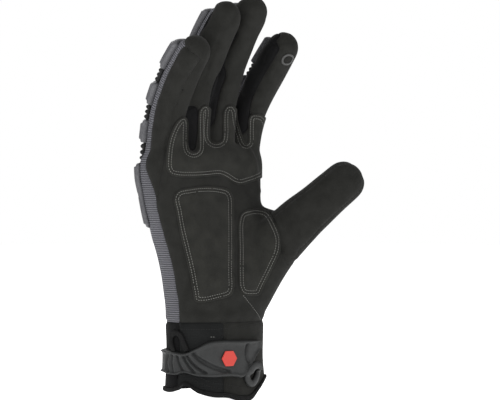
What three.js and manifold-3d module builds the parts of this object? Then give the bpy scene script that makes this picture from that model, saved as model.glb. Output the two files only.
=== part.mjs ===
// Impact glove for a mechanic's right hand, shown as it is worn, in millimetres.
// +Z runs from the wrist opening to the fingertips, the palm faces -Y and the thumb points to +X.
// The origin is the centre of the wrist opening, where the hand goes in.

import * as THREE from "three";
import { mergeVertices } from "three/addons/utils/BufferGeometryUtils.js";
import Module from "manifold-3d";

const wasm = await Module();
wasm.setup();

// Driving sizes of the glove.
const CUFF_LENGTH = 45; // hem to the seam where the palm starts
const PALM_LENGTH = 100; // that seam to the webs between the fingers
const PALM_WIDTH = 86;
const PALM_DEPTH = 35;
const WRIST_WIDTH = 63;
const WRIST_DEPTH = 46;
const FINGER_LENGTH = 111.5; // middle finger, from its knuckle joint to the tip
const FINGER_WIDTH = 19.4;
const FINGER_DEPTH = 20;
const THUMB_LENGTH = 104; // from its root at the wrist to the tip
const THUMB_WIDTH = 25;
const THUMB_DEPTH = 23;
const WEB_WIDTH = 30; // fold of cloth between thumb and palm
const WEB_DEPTH = 14;

// Walls, clearances and trims.
const WALL = 1.8; // suede or knit with its lining
const SEAM_GAP = 0.4; // between two panels sewn edge to edge
const SEAT_GAP = 0.3; // between a piece and the cloth that it is sewn on
const PAD_THICK = 1.8;
const FOURCHETTE_WIDTH = 10; // strip of cloth along a finger's side
const PINKY_SIDE_SHIFT = 2.8; // how far the pinky's outer strip lies towards the palm
const GUARD_BASE = 1; // flexible strip under a finger's guard plates
const GUARD_THICK = 2.4; // a guard plate
const GUARD_CHAMFER = 1.2;
const RIB_HEIGHT = 1.4;
const HEM_BAND = 4;
const HEM_THICK = 0.9;
const STRAP_THICK = 2.8;
const BADGE_WIDTH = 10;
const BADGE_THICK = 1;
const ANCHOR_WIDTH = 12; // ring that the strap's tip is held in
const ANCHOR_LENGTH = 13;
const ANCHOR_RIM = 4;
const ANCHOR_THICK = 2.2;
const LOOP_WIDTH = 9; // finger pull above the strap
const LOOP_LENGTH = 11;
const LOOP_RIM = 3;
const LOOP_THICK = 1.8;
const TOUCH_RING_WIDTH = 7.5;
const TOUCH_RING_RIM = 1.3;
const TOUCH_RING_THICK = 0.6;

// Places of the small pieces: rise is a share of the cuff's length, or along of a finger's, at an
// angle in degrees round the wrist or the finger, from the thumb's side over the back.
const BADGE_AT = { angle: 250, rise: 0.55 };
const ANCHOR_AT = { angle: 286, rise: 0.325 };
const LOOP_AT = { angle: 187, rise: 0.77 };
const TOUCH_RING_AT = { angle: 264, share: 0.88 };

// Mesh fineness.
const PALM_SIDES = 20;
const LIMB_SIDES = 8;
const RING_SIDES = 12;

const DEG = Math.PI / 180;

// Sections of the palm, from the hem to the finger webs. cuff and palm place a section, as shares of
// those lengths. wide and deep run from 0, the wrist's size, to 1, the palm's, thin is how much of
// the depth is left where the palm closes, and across, back move its centre by shares of the palm.
const PALM_ROWS = [
  { cuff: 0.0, palm: 0, across: 0, back: 0, wide: 0.13, deep: -0.1, thin: 1, power: 2.1 },
  { cuff: 0.5, palm: 0, across: 0, back: 0, wide: 0, deep: 0, thin: 1, power: 2.1 },
  { cuff: 1.0, palm: 0, across: 0, back: 0, wide: 0, deep: 0, thin: 1, power: 2.2 },
  { cuff: 1.0, palm: 0.12, across: 0, back: 0.01, wide: 0.06, deep: 0, thin: 1, power: 2.2 },
  { cuff: 1.0, palm: 0.24, across: 0, back: 0.03, wide: 0.2, deep: 0.11, thin: 1, power: 2.25 },
  { cuff: 1.0, palm: 0.36, across: 0, back: 0.09, wide: 0.36, deep: 0.3, thin: 1, power: 2.3 },
  { cuff: 1.0, palm: 0.48, across: -0.012, back: 0.14, wide: 0.54, deep: 0.49, thin: 1, power: 2.4 },
  { cuff: 1.0, palm: 0.6, across: -0.018, back: 0.19, wide: 0.76, deep: 0.68, thin: 1, power: 2.45 },
  { cuff: 1.0, palm: 0.72, across: -0.024, back: 0.235, wide: 0.86, deep: 0.91, thin: 1.02, power: 2.6 },
  { cuff: 1.0, palm: 0.84, across: -0.034, back: 0.255, wide: 0.9, deep: 1, thin: 1.05, power: 2.9 },
  { cuff: 1.0, palm: 0.93, across: -0.036, back: 0.235, wide: 0.88, deep: 1, thin: 0.99, power: 3 },
  { cuff: 1.0, palm: 0.98, across: -0.036, back: 0.19, wide: 0.8, deep: 1, thin: 0.84, power: 2.6 },
  { cuff: 1.0, palm: 1.01, across: -0.036, back: 0.13, wide: 0.66, deep: 1, thin: 0.6, power: 2.4 },
];

// Fingers. across, back and rise place the knuckle joint as shares of the palm's width, depth and
// length, splay leans the finger sideways, lean1 to lean3 are how far each bone leans towards the
// palm, in degrees, and bone1 to bone3 are its lengths as shares of the middle finger. guard lists
// the angles round the finger, in degrees, that its guard bends at, from edge to edge.
const FINGERS = [
  {
    name: "index", across: 0.29, back: 0.31, rise: 0.8, splay: 4,
    lean1: 14, lean2: 34, lean3: 37, bone1: 0.4, bone2: 0.235, bone3: 0.24, wide: 0.97,
    guard: [50, 90, 128],
  },
  {
    name: "middle", across: 0.052, back: 0.25, rise: 0.8, splay: 0,
    lean1: 9, lean2: 23, lean3: 37, bone1: 0.44, bone2: 0.31, bone3: 0.285, wide: 1,
    guard: [52, 90, 128],
  },
  {
    name: "ring", across: -0.17, back: 0.25, rise: 0.78, splay: -1.5,
    lean1: 8, lean2: 26, lean3: 36, bone1: 0.43, bone2: 0.305, bone3: 0.285, wide: 0.98,
    guard: [52, 90, 130],
  },
  {
    name: "pinky", across: -0.385, back: 0.26, rise: 0.77, splay: -2.5,
    lean1: 8, lean2: 28, lean3: 40, bone1: 0.36, bone2: 0.235, bone3: 0.25, wide: 0.97,
    guard: [54, 90, 132, 149],
  },
];

// The thumb's bones, from its root: turn is towards the palm and rise is upwards, in degrees.
const THUMB_ROOT = { across: 0.237, back: -0.166, up: 0.104 };
const THUMB_BONES = [
  { turn: 45, rise: 65, long: 0.305 },
  { turn: 45, rise: 48, long: 0.224 },
  { turn: 42, rise: 41.5, long: 0.156 },
  { turn: 43, rise: 41, long: 0.31 },
];

// The fold of skin between thumb and palm, as shares of the palm.
const WEB_JOINTS = [
  { across: 0.27, back: 0, up: 0.3 },
  { across: 0.37, back: -0.12, up: 0.5 },
  { across: 0.42, back: -0.16, up: 0.655 },
];

// Sections along a finger, the thumb and the web: at is a share of the limb's length.
const FINGER_ROWS = [
  { at: 0, wide: 1, deep: 1.25 },
  { at: 0.16, wide: 1, deep: 1.16 },
  { at: 0.32, wide: 1, deep: 1.03 },
  { at: 0.6, wide: 1, deep: 1 },
  { at: 0.8, wide: 0.98, deep: 0.97 },
  { at: 1, wide: 0.9, deep: 0.88 },
];
const THUMB_ROWS = [
  { at: 0, wide: 0.95, deep: 1.1 },
  { at: 0.28, wide: 1.16, deep: 1.3 },
  { at: 0.52, wide: 1.13, deep: 1.12 },
  { at: 0.68, wide: 1.02, deep: 1 },
  { at: 0.85, wide: 0.97, deep: 0.96 },
  { at: 1, wide: 0.92, deep: 0.88 },
];
const WEB_ROWS = [
  { at: 0, wide: 1, deep: 1 },
  { at: 0.5, wide: 1, deep: 1 },
  { at: 1, wide: 0.9, deep: 0.8 },
];
const LIMB_STEPS = [0, 0.2, 0.4, 0.58, 0.75, 0.88, 0.96, 1];
const WEB_STEPS = [0, 0.5, 0.86, 0.96, 1];
const TIP_START = 0.88; // where a limb's end starts to round over
const TIP_CLOSED = 0.985; // how nearly it closes
const TIP_POWER = 2.6; // how blunt it is
const LIMB_POWER = 2.5; // how boxy a limb's section is: 2 is an oval

// Reads column key of a table at place, smoothly between its rows.
function readRows(rows, column, key, place) {
  const last = rows.length - 1;
  let i = 0;
  while (i < last - 1 && place > rows[i + 1][column]) i += 1;
  const from = rows[i];
  const to = rows[i + 1];
  const s = THREE.MathUtils.clamp((place - from[column]) / (to[column] - from[column]), 0, 1);
  const slope = (a, b) => (b[key] - a[key]) / (b[column] - a[column]);
  const here = slope(from, to);
  const m0 = i > 0 ? (slope(rows[i - 1], from) + here) / 2 : here;
  const m1 = i + 1 < last ? (slope(to, rows[i + 2]) + here) / 2 : here;
  const step = to[column] - from[column];
  const s2 = s * s;
  const s3 = s2 * s;
  return (
    (2 * s3 - 3 * s2 + 1) * from[key] +
    (s3 - 2 * s2 + s) * step * m0 +
    (3 * s2 - 2 * s3) * to[key] +
    (s3 - s2) * step * m1
  );
}

// The rounded-box outline of a section, at an angle from its side towards its back.
function roundedBox(angle, halfWide, halfDeep, power) {
  const c = Math.cos(angle);
  const s = Math.sin(angle);
  return {
    x: halfWide * Math.sign(c) * Math.abs(c) ** (2 / power),
    y: halfDeep * Math.sign(s) * Math.abs(s) ** (2 / power),
  };
}

// The hem's line around the wrist: rise is a share of the cuff's length, at an angle in degrees from
// the thumb's side over the back. The cuff follows it up to HEM_REACH of its length.
const HEM_ROWS = [
  { angle: 0, rise: 0.2 },
  { angle: 45, rise: 0.12 },
  { angle: 144, rise: 0.13 },
  { angle: 186, rise: 0.15 },
  { angle: 196, rise: 0.22 },
  { angle: 216, rise: 0.12 },
  { angle: 234, rise: 0.07 },
  { angle: 251, rise: 0.055 },
  { angle: 264, rise: 0.01 },
  { angle: 279, rise: 0.01 },
  { angle: 292, rise: 0.12 },
  { angle: 315, rise: 0.26 },
  { angle: 360, rise: 0.2 },
];
const HEM_REACH = 0.55;

function hemRise(z, angle) {
  const turn = ((angle / DEG) % 360 + 360) % 360;
  const fade = Math.max(0, 1 - z / (HEM_REACH * CUFF_LENGTH));
  return readRows(HEM_ROWS, "angle", "rise", turn) * CUFF_LENGTH * fade;
}

// The palm as a skin: its stations are heights above the lowest point of the hem.
const PALM_HEIGHTS = PALM_ROWS.map((row) => ({
  ...row,
  z: row.cuff * CUFF_LENGTH + row.palm * PALM_LENGTH,
}));
const PALM_TOP = PALM_HEIGHTS.at(-1).z;
const CAP_HEIGHT = 8; // where the palm starts to close below the webs
const palm = {
  radius: (WRIST_WIDTH + WRIST_DEPTH) / 4,
  perMm: 1,
  point(z, angle, grow, inward = 1) {
    const read = (key) => readRows(PALM_HEIGHTS, "z", key, z);
    const width = THREE.MathUtils.lerp(WRIST_WIDTH, PALM_WIDTH, read("wide"));
    const depth = THREE.MathUtils.lerp(WRIST_DEPTH, PALM_DEPTH, read("deep")) * read("thin");
    const half = roundedBox(
      angle,
      (width / 2 + grow) * inward,
      (depth / 2 + grow) * inward,
      read("power"),
    );
    return new THREE.Vector3(
      read("across") * PALM_WIDTH + half.x,
      read("back") * PALM_DEPTH + half.y,
      z + hemRise(z, angle) + grow * THREE.MathUtils.smoothstep(z, PALM_TOP - CAP_HEIGHT, PALM_TOP),
    );
  },
};

// A finger or the thumb as a skin around a curved centre line.
function makeLimb(joints, side, width, depth, rows) {
  const line = new THREE.CatmullRomCurve3(joints, false, "centripetal");
  const backAt = (at) => line.getTangentAt(at).cross(side).normalize();
  return {
    radius: (width + depth) / 4,
    perMm: 1 / line.getLength(),
    line,
    side,
    backAt,
    point(at, angle, grow, inward = 1) {
      const centre = line.getPointAt(at);
      const along = line.getTangentAt(at);
      const back = backAt(at);
      const across = back.clone().cross(along);
      const over = THREE.MathUtils.clamp((at - TIP_START) / (1 - TIP_START), 0, TIP_CLOSED);
      const round = Math.sqrt(1 - over ** TIP_POWER);
      const half = roundedBox(
        angle,
        ((readRows(rows, "at", "wide", at) * width) / 2 + grow) * round * inward,
        ((readRows(rows, "at", "deep", at) * depth) / 2 + grow) * round * inward,
        LIMB_POWER,
      );
      return centre
        .addScaledVector(along, grow * (at > 0.5 ? over : 0))
        .addScaledVector(across, half.x)
        .addScaledVector(back, half.y);
    },
  };
}

// A place in the hand, as shares of the palm's width, depth and length.
function handPlace(across, back, up) {
  return new THREE.Vector3(across * PALM_WIDTH, back * PALM_DEPTH, CUFF_LENGTH + up * PALM_LENGTH);
}

function makeFinger(row) {
  const side = new THREE.Vector3(Math.cos(row.splay * DEG), 0, -Math.sin(row.splay * DEG));
  const joints = [handPlace(row.across, row.back, row.rise)];
  for (const bone of [1, 2, 3]) {
    const lean = row["lean" + bone] * DEG;
    const length = row["bone" + bone] * FINGER_LENGTH;
    const upwards = new THREE.Vector3(Math.sin(row.splay * DEG), 0, Math.cos(row.splay * DEG));
    const step = upwards.multiplyScalar(Math.cos(lean)).setY(-Math.sin(lean));
    joints.push(joints[bone - 1].clone().addScaledVector(step, length));
  }
  return makeLimb(joints, side, row.wide * FINGER_WIDTH, row.wide * FINGER_DEPTH, FINGER_ROWS);
}
const fingers = FINGERS.map(makeFinger);
const [index, middle, ring, pinky] = fingers;

function makeThumb() {
  const joints = [handPlace(THUMB_ROOT.across, THUMB_ROOT.back, THUMB_ROOT.up)];
  for (const bone of THUMB_BONES) {
    const flat = Math.cos(bone.rise * DEG);
    const step = new THREE.Vector3(
      flat * Math.cos(bone.turn * DEG),
      -flat * Math.sin(bone.turn * DEG),
      Math.sin(bone.rise * DEG),
    );
    joints.push(joints.at(-1).clone().addScaledVector(step, bone.long * THUMB_LENGTH));
  }
  return makeLimb(joints, THUMB_SIDE, THUMB_WIDTH, THUMB_DEPTH, THUMB_ROWS);
}
const THUMB_SIDE = new THREE.Vector3(0.5, -0.5, -0.7071);
const thumb = makeThumb();

const WEB_SIDE = new THREE.Vector3(0.25, -0.97, 0);
const webJoints = WEB_JOINTS.map((joint) => handPlace(joint.across, joint.back, joint.up));
const web = makeLimb(webJoints, WEB_SIDE, WEB_WIDTH, WEB_DEPTH, WEB_ROWS);

// Moves a three.js geometry's points and makes one closed solid of it.
function shaped(geometry, move) {
  const g = geometry.clone();
  for (const name of ["normal", "uv"]) g.deleteAttribute(name);
  const p = g.attributes.position;
  for (let i = 0; i < p.count; i += 1) {
    const to = move(new THREE.Vector3().fromBufferAttribute(p, i));
    p.setXYZ(i, to.x, to.y, to.z);
  }
  const merged = mergeVertices(g, 1e-4);
  return new wasm.Manifold(
    new wasm.Mesh({
      numProp: 3,
      vertProperties: merged.attributes.position.array,
      triVerts: new Uint32Array(merged.index.array),
    }),
  );
}

// A closed solid of a skin, grown outwards, through the given stations.
function skinSolid(skin, stations, sides, grow) {
  const blank = new THREE.CylinderGeometry(1, 1, stations.length - 1, sides, stations.length - 1);
  return shaped(blank, (v) => {
    const station = stations[Math.round(v.y + (stations.length - 1) / 2)];
    const angle = Math.atan2(-v.z, v.x);
    return skin.point(station, angle, grow, Math.hypot(v.x, v.z) < 0.5 ? 0 : 1);
  });
}

// A plate between two offsets of a skin. place(u, v, w) says where its points go: u runs round the
// skin, v along it and w outwards, each from 0 to 1.
function plate(across, along, place) {
  const blank = new THREE.BoxGeometry(1, 1, 1, across, along, 1);
  return shaped(blank, (v) => place(v.x + 0.5, v.y + 0.5, v.z + 0.5));
}

const mix = THREE.MathUtils.lerp;
const BELOW_HEM = -0.1 * CUFF_LENGTH;
const palmStations = PALM_HEIGHTS.map((row) => row.z);

// The hand's solid, grown outwards from the cloth's outer face. fromHem is its lowest station.
function handForm(grow, fromHem = 0) {
  const stations = [fromHem, ...palmStations.slice(1)];
  let form = skinSolid(palm, stations, PALM_SIDES, grow);
  for (const limb of [...fingers, thumb]) {
    form = form.add(skinSolid(limb, LIMB_STEPS, LIMB_SIDES, grow));
  }
  return form.add(skinSolid(web, WEB_STEPS, LIMB_SIDES, grow));
}
const outer = handForm(0);
const shell = outer.subtract(handForm(-WALL, BELOW_HEM));

// Regions of the shell. Each is a solid that holds one panel, grown by a margin where another
// panel has to stay clear of it.
const REACH = 5; // how far a region stands out of the cloth
const FINGER_REACH = 1.5; // the same where the next finger is near
const CORE = 0.05; // how near a region comes to a limb's centre line
const CAP_MARGIN = 2; // how far a region goes beyond the palm's top
const TURN_STEPS = 6;
const ZONE_STEPS = 4;
const BACK_STEPS = 8;

function sector(skin, from, to, low, high, along, reach = REACH) {
  return (margin) =>
    plate(TURN_STEPS, along, (u, v, w) =>
      skin.point(
        mix(low, high, v),
        mix(from, to, u) * DEG + ((2 * u - 1) * margin) / skin.radius,
        w > 0.5 ? reach + margin : 0,
        w > 0.5 ? 1 : CORE,
      ),
    );
}

function slice(low, high) {
  return (margin) => {
    const span = 2 * PALM_WIDTH;
    const height = high - low + 2 * margin;
    const blank = new THREE.BoxGeometry(span, span, height);
    return shaped(blank, (v) => v.setZ(v.z + (low + high) / 2));
  };
}

function union(...makers) {
  return (margin) => makers.map((make) => make(margin)).reduce((a, b) => a.add(b));
}

const STRIP_STEPS = 4;

// A strip along one side of a finger, from its centre line to a reach beyond its wall: facing is 1
// for the thumb's side and -1 for the pinky's, and shift moves the strip towards the palm.
function besideFinger(limb, facing, reach, from, to, shift = 0) {
  return (margin) =>
    plate(1, STRIP_STEPS, (u, v, w) => {
      const at = mix(from, to, v);
      const half = (w - 0.5) * (FOURCHETTE_WIDTH + 2 * margin) - shift;
      const out = (facing > 0 ? 1 - u : -u) * (FINGER_WIDTH / 2 + reach);
      const place = limb.line.getPointAt(at);
      return place.addScaledVector(limb.backAt(at), half).addScaledVector(limb.side, out);
    });
}

// The strip of cloth between two fingers: their facing sides, joined across the web.
function betweenFingers(a, b) {
  const overWeb = (margin) =>
    plate(1, 1, (u, v, w) => {
      const limb = u < 0.5 ? a : b;
      const at = mix(WEB_AT, WEB_END, v);
      const half = (w - 0.5) * (FOURCHETTE_WIDTH + 2 * margin);
      return limb.line.getPointAt(at).addScaledVector(limb.backAt(at), half);
    });
  return union(
    besideFinger(a, -1, SEAM_GAP, WEB_AT, TIP_AT),
    besideFinger(b, 1, SEAM_GAP, WEB_AT, TIP_AT),
    overWeb,
  );
}

const WEB_AT = 0.12; // where the strips between the fingers start, as a share of a finger
const WEB_END = 0.3; // how far up the strips are joined across the web
const TIP_AT = 0.93; // where they end, at the tip's cap
const CUFF_SEAM = { elastic: 184, palm: 245, back: 326 };
const BACK_SEAM = { thumb: 2, pinky: 184 };
const THUMB_SEAM_AT = 0.36;
const THUMB_BACK = { from: -35, to: 215, low: 0.2, high: 0.97 }; // angles, and shares of the thumb
const PINKY_GUSSET_RISE = 0.7; // share of the palm where the pinky's side strip starts
const GUSSET = { angle: 190, foot: 4, head: 34, below: 6 }; // its middle and widths, in degrees

const cuffZone = slice(-CUFF_LENGTH, CUFF_LENGTH);
const { from: backFrom, to: backTo, low: backLow, high: backHigh } = THUMB_BACK;
const thumbBack = sector(thumb, backFrom, backTo, backLow, backHigh, ZONE_STEPS);
const thumbSteps = LIMB_STEPS.filter((at) => at > THUMB_SEAM_AT);
const thumbZone = (margin) => {
  const stations = [THUMB_SEAM_AT - margin * thumb.perMm, ...thumbSteps];
  return skinSolid(thumb, stations, LIMB_SIDES, FINGER_REACH + margin);
};
const gussetBottom = CUFF_LENGTH + PINKY_GUSSET_RISE * PALM_LENGTH;

// A stretch of the cuff between two of its seams, at angles in degrees.
function cuffPart(from, to) {
  const around = sector(palm, from, to, BELOW_HEM, CUFF_LENGTH + SEAM_GAP, ZONE_STEPS);
  return (margin) => cuffZone(margin).intersect(around(margin));
}

// A strip of the palm's skin beside the pinky, narrowing towards its foot.
function pinkyGusset(margin) {
  return plate(3, ZONE_STEPS, (u, v, w) => {
    const spread = mix(GUSSET.foot, GUSSET.head, v) / 2 + margin;
    return palm.point(
      mix(gussetBottom, PALM_TOP - GUSSET.below, v),
      (GUSSET.angle + (2 * u - 1) * spread) * DEG,
      w > 0.5 ? REACH + margin : -REACH,
    );
  });
}

const pinkySide = union(
  pinkyGusset,
  besideFinger(pinky, -1, REACH, WEB_AT, TIP_AT, PINKY_SIDE_SHIFT),
);

function backOfHand(margin) {
  const parts = [sector(palm, BACK_SEAM.thumb, BACK_SEAM.pinky, 0, PALM_TOP + CAP_MARGIN, BACK_STEPS)];
  for (const finger of fingers) parts.push(sector(finger, 0, 180, 0, TIP_AT, ZONE_STEPS, FINGER_REACH));
  return union(...parts)(margin);
}

// Panels in the order that they are cut out of the shell: each leaves a seam around the ones
// before it, and the last takes what is left.
const PANELS = [
  { name: "cuff_elastic", zone: cuffPart(CUFF_SEAM.elastic, CUFF_SEAM.palm) },
  { name: "cuff_palm", zone: cuffPart(CUFF_SEAM.palm, CUFF_SEAM.back) },
  { name: "cuff_back", zone: cuffZone },
  { name: "thumb_back", zone: (margin) => thumbZone(margin).intersect(thumbBack(margin)) },
  { name: "thumb_front", zone: thumbZone },
  { name: "index_fourchette", zone: betweenFingers(index, middle) },
  { name: "middle_fourchette", zone: betweenFingers(middle, ring) },
  { name: "ring_fourchette", zone: betweenFingers(ring, pinky) },
  { name: "pinky_side", zone: pinkySide },
  { name: "back_panel", zone: backOfHand },
  { name: "palm_panel", zone: slice(0, 4 * PALM_LENGTH) },
];

const suede = { color: 0x2b2b28, roughness: 0.95 };
const cloth = { color: 0x1d1e1e, roughness: 0.9 };
const knit = { color: 0x67676b, roughness: 0.85 };
const finish = {
  cuff_elastic: { color: 0x1d1e1d, roughness: 0.8 },
  cuff_palm: suede,
  cuff_back: cloth,
  thumb_back: suede,
  thumb_front: suede,
  index_fourchette: cloth,
  middle_fourchette: cloth,
  ring_fourchette: cloth,
  pinky_side: suede,
  back_panel: knit,
  palm_panel: suede,
};

// A named mesh of a solid.
function piece(name, solid, look) {
  const mesh = solid.getMesh();
  const geometry = new THREE.BufferGeometry();
  geometry.setAttribute("position", new THREE.BufferAttribute(mesh.vertProperties, 3));
  geometry.setIndex(new THREE.BufferAttribute(mesh.triVerts, 1));
  const made = new THREE.Mesh(geometry, new THREE.MeshStandardMaterial({ metalness: 0, ...look }));
  made.name = name;
  return made;
}

// What is left of a solid above the cloth, with a small gap under it.
const seat = handForm(SEAT_GAP);
const seated = (solid) => solid.subtract(seat);

// A layer of the given thickness that lies on the cloth, inside a prism or zone.
const onCloth = (zone, thick) => seated(zone.intersect(handForm(SEAT_GAP + thick)));

// A prism of a smooth closed outline in front of the palm, as shares of the palm, back to a plane.
function frontPrism(rows) {
  const corners = rows.map((row) => handPlace(row.across, 0, row.up));
  const outline = new THREE.Shape(corners.map((p) => new THREE.Vector2(p.x, p.z)));
  const depth = 2 * PALM_DEPTH;
  const blank = new THREE.ExtrudeGeometry(outline, { depth, bevelEnabled: false }).rotateX(Math.PI / 2);
  return shaped(blank, (v) => v);
}

// Padded patches sewn on the palm, as closed outlines.
const PALM_PATCH = [
  { across: -0.424, up: 0.865 },
  { across: -0.019, up: 0.855 },
  { across: 0.128, up: 0.81 },
  { across: 0.227, up: 0.805 },
  { across: 0.39, up: 0.865 },
  { across: 0.395, up: 1.01 },
  { across: 0.35, up: 1.15 },
  { across: 0.32, up: 1.19 },
  { across: 0.26, up: 1.19 },
  { across: 0.225, up: 1.15 },
  { across: 0.18, up: 1.025 },
  { across: 0.12, up: 1.19 },
  { across: 0.085, up: 1.24 },
  { across: 0.02, up: 1.24 },
  { across: -0.01, up: 1.19 },
  { across: -0.055, up: 1.03 },
  { across: -0.117, up: 1.19 },
  { across: -0.15, up: 1.24 },
  { across: -0.21, up: 1.24 },
  { across: -0.24, up: 1.19 },
  { across: -0.29, up: 0.995 },
  { across: -0.335, up: 1.12 },
  { across: -0.365, up: 1.16 },
  { across: -0.42, up: 1.14 },
  { across: -0.455, up: 1.06 },
  { across: -0.463, up: 0.95 },
];
const HEEL_PAD = [
  { across: -0.43, up: 0.71 },
  { across: -0.39, up: 0.75 },
  { across: 0.013, up: 0.735 },
  { across: 0.044, up: 0.68 },
  { across: -0.023, up: 0.4 },
  { across: -0.1, up: 0.2 },
  { across: -0.134, up: 0.18 },
  { across: -0.29, up: 0.138 },
  { across: -0.345, up: 0.17 },
  { across: -0.38, up: 0.45 },
];
const THENAR_PAD = [
  { across: 0.105, up: 0.565 },
  { across: 0.04, up: 0.39 },
  { across: -0.005, up: 0.21 },
  { across: 0.025, up: 0.17 },
  { across: 0.16, up: 0.16 },
  { across: 0.22, up: 0.27 },
  { across: 0.255, up: 0.39 },
  { across: 0.262, up: 0.48 },
  { across: 0.3, up: 0.59 },
  { across: 0.22, up: 0.63 },
];

// A finger's guard, from the knuckle to the tip: stretches of ribs and of plate, at as shares of the
// finger.
const GUARD_ROWS = [
  { from: 0.16, to: 0.265, plate: 0 },
  { from: 0.265, to: 0.4, plate: 1 },
  { from: 0.4, to: 0.48, plate: 0 },
  { from: 0.48, to: 0.62, plate: 2 },
  { from: 0.62, to: 0.71, plate: 0 },
  { from: 0.71, to: 0.9, plate: 3 },
];
const RIBS = 3; // ribs in each stretch

// A plate with chamfered edges on a skin, between two stations, that bends at the given angles in
// degrees. It reaches from under to over, as heights above the skin.
function guardPlate(skin, low, high, angles, under, over) {
  const last = angles.length - 1;
  const chamferTurn = GUARD_CHAMFER / skin.radius;
  return plate(last, 1, (u, v, w) => {
    const inset = SEAT_GAP + (w > 0.5 ? GUARD_CHAMFER : 0);
    const turn = (w > 0.5 ? chamferTurn : 0) * (u > 0 && u < 1 ? 0 : 1 - 2 * u);
    return skin.point(
      mix(low, high, v) + (1 - 2 * v) * inset * skin.perMm,
      angles[Math.round(u * last)] * DEG + turn,
      w > 0.5 ? over : under,
    );
  });
}

// The flexible strip under a finger's plates, with ribs across it between them. The pinky's first
// stretch also follows the palm, whose side stands out beyond the finger's root.
const guardLayer = handForm(SEAT_GAP + GUARD_BASE);
function guardStrip(finger, angles) {
  const stations = [];
  for (const row of GUARD_ROWS) {
    const steps = row.plate ? 1 : 2 * RIBS;
    for (let i = 0; i < steps; i += 1) {
      stations.push({ at: mix(row.from, row.to, i / steps), rib: i % 2 });
    }
  }
  stations.push({ at: GUARD_ROWS.at(-1).to, rib: 0 });
  const last = angles.length - 1;
  const ribbed = plate(last, stations.length - 1, (u, v, w) => {
    const here = stations[Math.round(v * (stations.length - 1))];
    const grow = w > 0.5 ? SEAT_GAP + GUARD_BASE + here.rib * RIB_HEIGHT : -WALL;
    return finger.point(here.at, angles[Math.round(u * last)] * DEG, grow);
  });
  if (finger !== pinky) return seated(ribbed);
  const { from, to } = GUARD_ROWS[0];
  const overPalm = sector(finger, angles[1], angles[last], from, to, 1)(0).intersect(guardLayer);
  return seated(ribbed.add(overPalm));
}

// Knuckle plates on the back of the hand, one behind each finger: angles on the palm's skin.
const KNUCKLE_ROWS = [
  { name: "index", angles: [40, 54, 70] },
  { name: "middle", angles: [75, 82, 90] },
  { name: "ring", angles: [94, 102, 110] },
  { name: "pinky", angles: [115, 126, 144, 164] },
];
const KNUCKLE_RISE = { low: 0.54, high: 0.915 };

// The strap round the wrist, from its sewn end on the back over the pinky's side to its tip on the
// palm: low and high are shares of the cuff's length.
const STRAP_ROWS = [
  { angle: 60, low: 0.311, high: 0.667 },
  { angle: 85, low: 0.31, high: 0.665 },
  { angle: 110, low: 0.305, high: 0.66 },
  { angle: 135, low: 0.3, high: 0.655 },
  { angle: 160, low: 0.3, high: 0.65 },
  { angle: 180, low: 0.27, high: 0.635 },
  { angle: 198, low: 0.252, high: 0.625 },
  { angle: 212, low: 0.258, high: 0.685 },
  { angle: 228, low: 0.271, high: 0.767 },
  { angle: 244, low: 0.284, high: 0.784 },
  { angle: 258, low: 0.295, high: 0.78 },
  { angle: 268, low: 0.302, high: 0.776 },
  { angle: 276, low: 0.43, high: 0.771 },
  { angle: 285, low: 0.58, high: 0.762 },
  { angle: 294, low: 0.68, high: 0.752 },
];

function wristStrap() {
  const last = STRAP_ROWS.length - 1;
  const whole = plate(last, 2, (u, v, w) => {
    const row = STRAP_ROWS[Math.round(u * last)];
    const z = mix(row.low, row.high, v) * CUFF_LENGTH;
    return palm.point(z, row.angle * DEG, w > 0.5 ? SEAT_GAP + STRAP_THICK : -WALL);
  });
  return seated(whole);
}

// Stands a flat piece, drawn in x and y and raised along z, on the wrist's cloth: x runs round the
// wrist, y towards the fingers and z outwards.
function onWrist(solidGeometry, { angle, rise }, grow) {
  const step = 1;
  const z = rise * CUFF_LENGTH;
  const place = palm.point(z, angle * DEG, grow);
  const round = palm.point(z, (angle + step) * DEG, grow).sub(palm.point(z, (angle - step) * DEG, grow));
  const x = round.setZ(0).normalize();
  const up = new THREE.Vector3(0, 0, 1);
  const matrix = new THREE.Matrix4().makeBasis(x, up, x.clone().cross(up)).setPosition(place);
  return solidGeometry.applyMatrix4(matrix);
}

// A closed ring of rectangular section: place(angle, r, h) says where its points go, r and h from 0
// to 1 across the section.
function band(sides, place) {
  const section = [[1, 0], [2, 0], [2, 1], [1, 1], [1, 0]].map(([x, y]) => new THREE.Vector2(x, y));
  const blank = new THREE.LatheGeometry(section, sides);
  return shaped(blank, (v) => place(Math.atan2(-v.z, v.x), Math.hypot(v.x, v.z) - 1, v.y));
}

// An oval ring that lies on a skin around a station and an angle in degrees.
function ovalRing(skin, at, angle, { width, length, rim, thick }) {
  return band(RING_SIDES, (turn, r, h) => {
    const inset = (1 - r) * rim;
    const x = (width / 2 - inset) * Math.cos(turn);
    const y = (length / 2 - inset) * Math.sin(turn);
    return skin.point(at + y * skin.perMm, angle * DEG + x / skin.radius, SEAT_GAP + h * thick);
  });
}

function hemBand() {
  return band(PALM_SIDES, (angle, r, h) => palm.point(h * HEM_BAND, angle, SEAT_GAP + r * HEM_THICK));
}

// Small rings: the finger pull beside the strap, the strap's anchor with its slot, and the ring on
// the index fingertip that marks its touch-screen patch.
const PULL_LOOP = { width: LOOP_WIDTH, length: LOOP_LENGTH, rim: LOOP_RIM, thick: LOOP_THICK };
const ANCHOR = { width: ANCHOR_WIDTH, length: ANCHOR_LENGTH, rim: ANCHOR_RIM, thick: ANCHOR_THICK };
const TOUCH_RING = {
  width: TOUCH_RING_WIDTH,
  length: TOUCH_RING_WIDTH,
  rim: TOUCH_RING_RIM,
  thick: TOUCH_RING_THICK,
};

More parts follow.
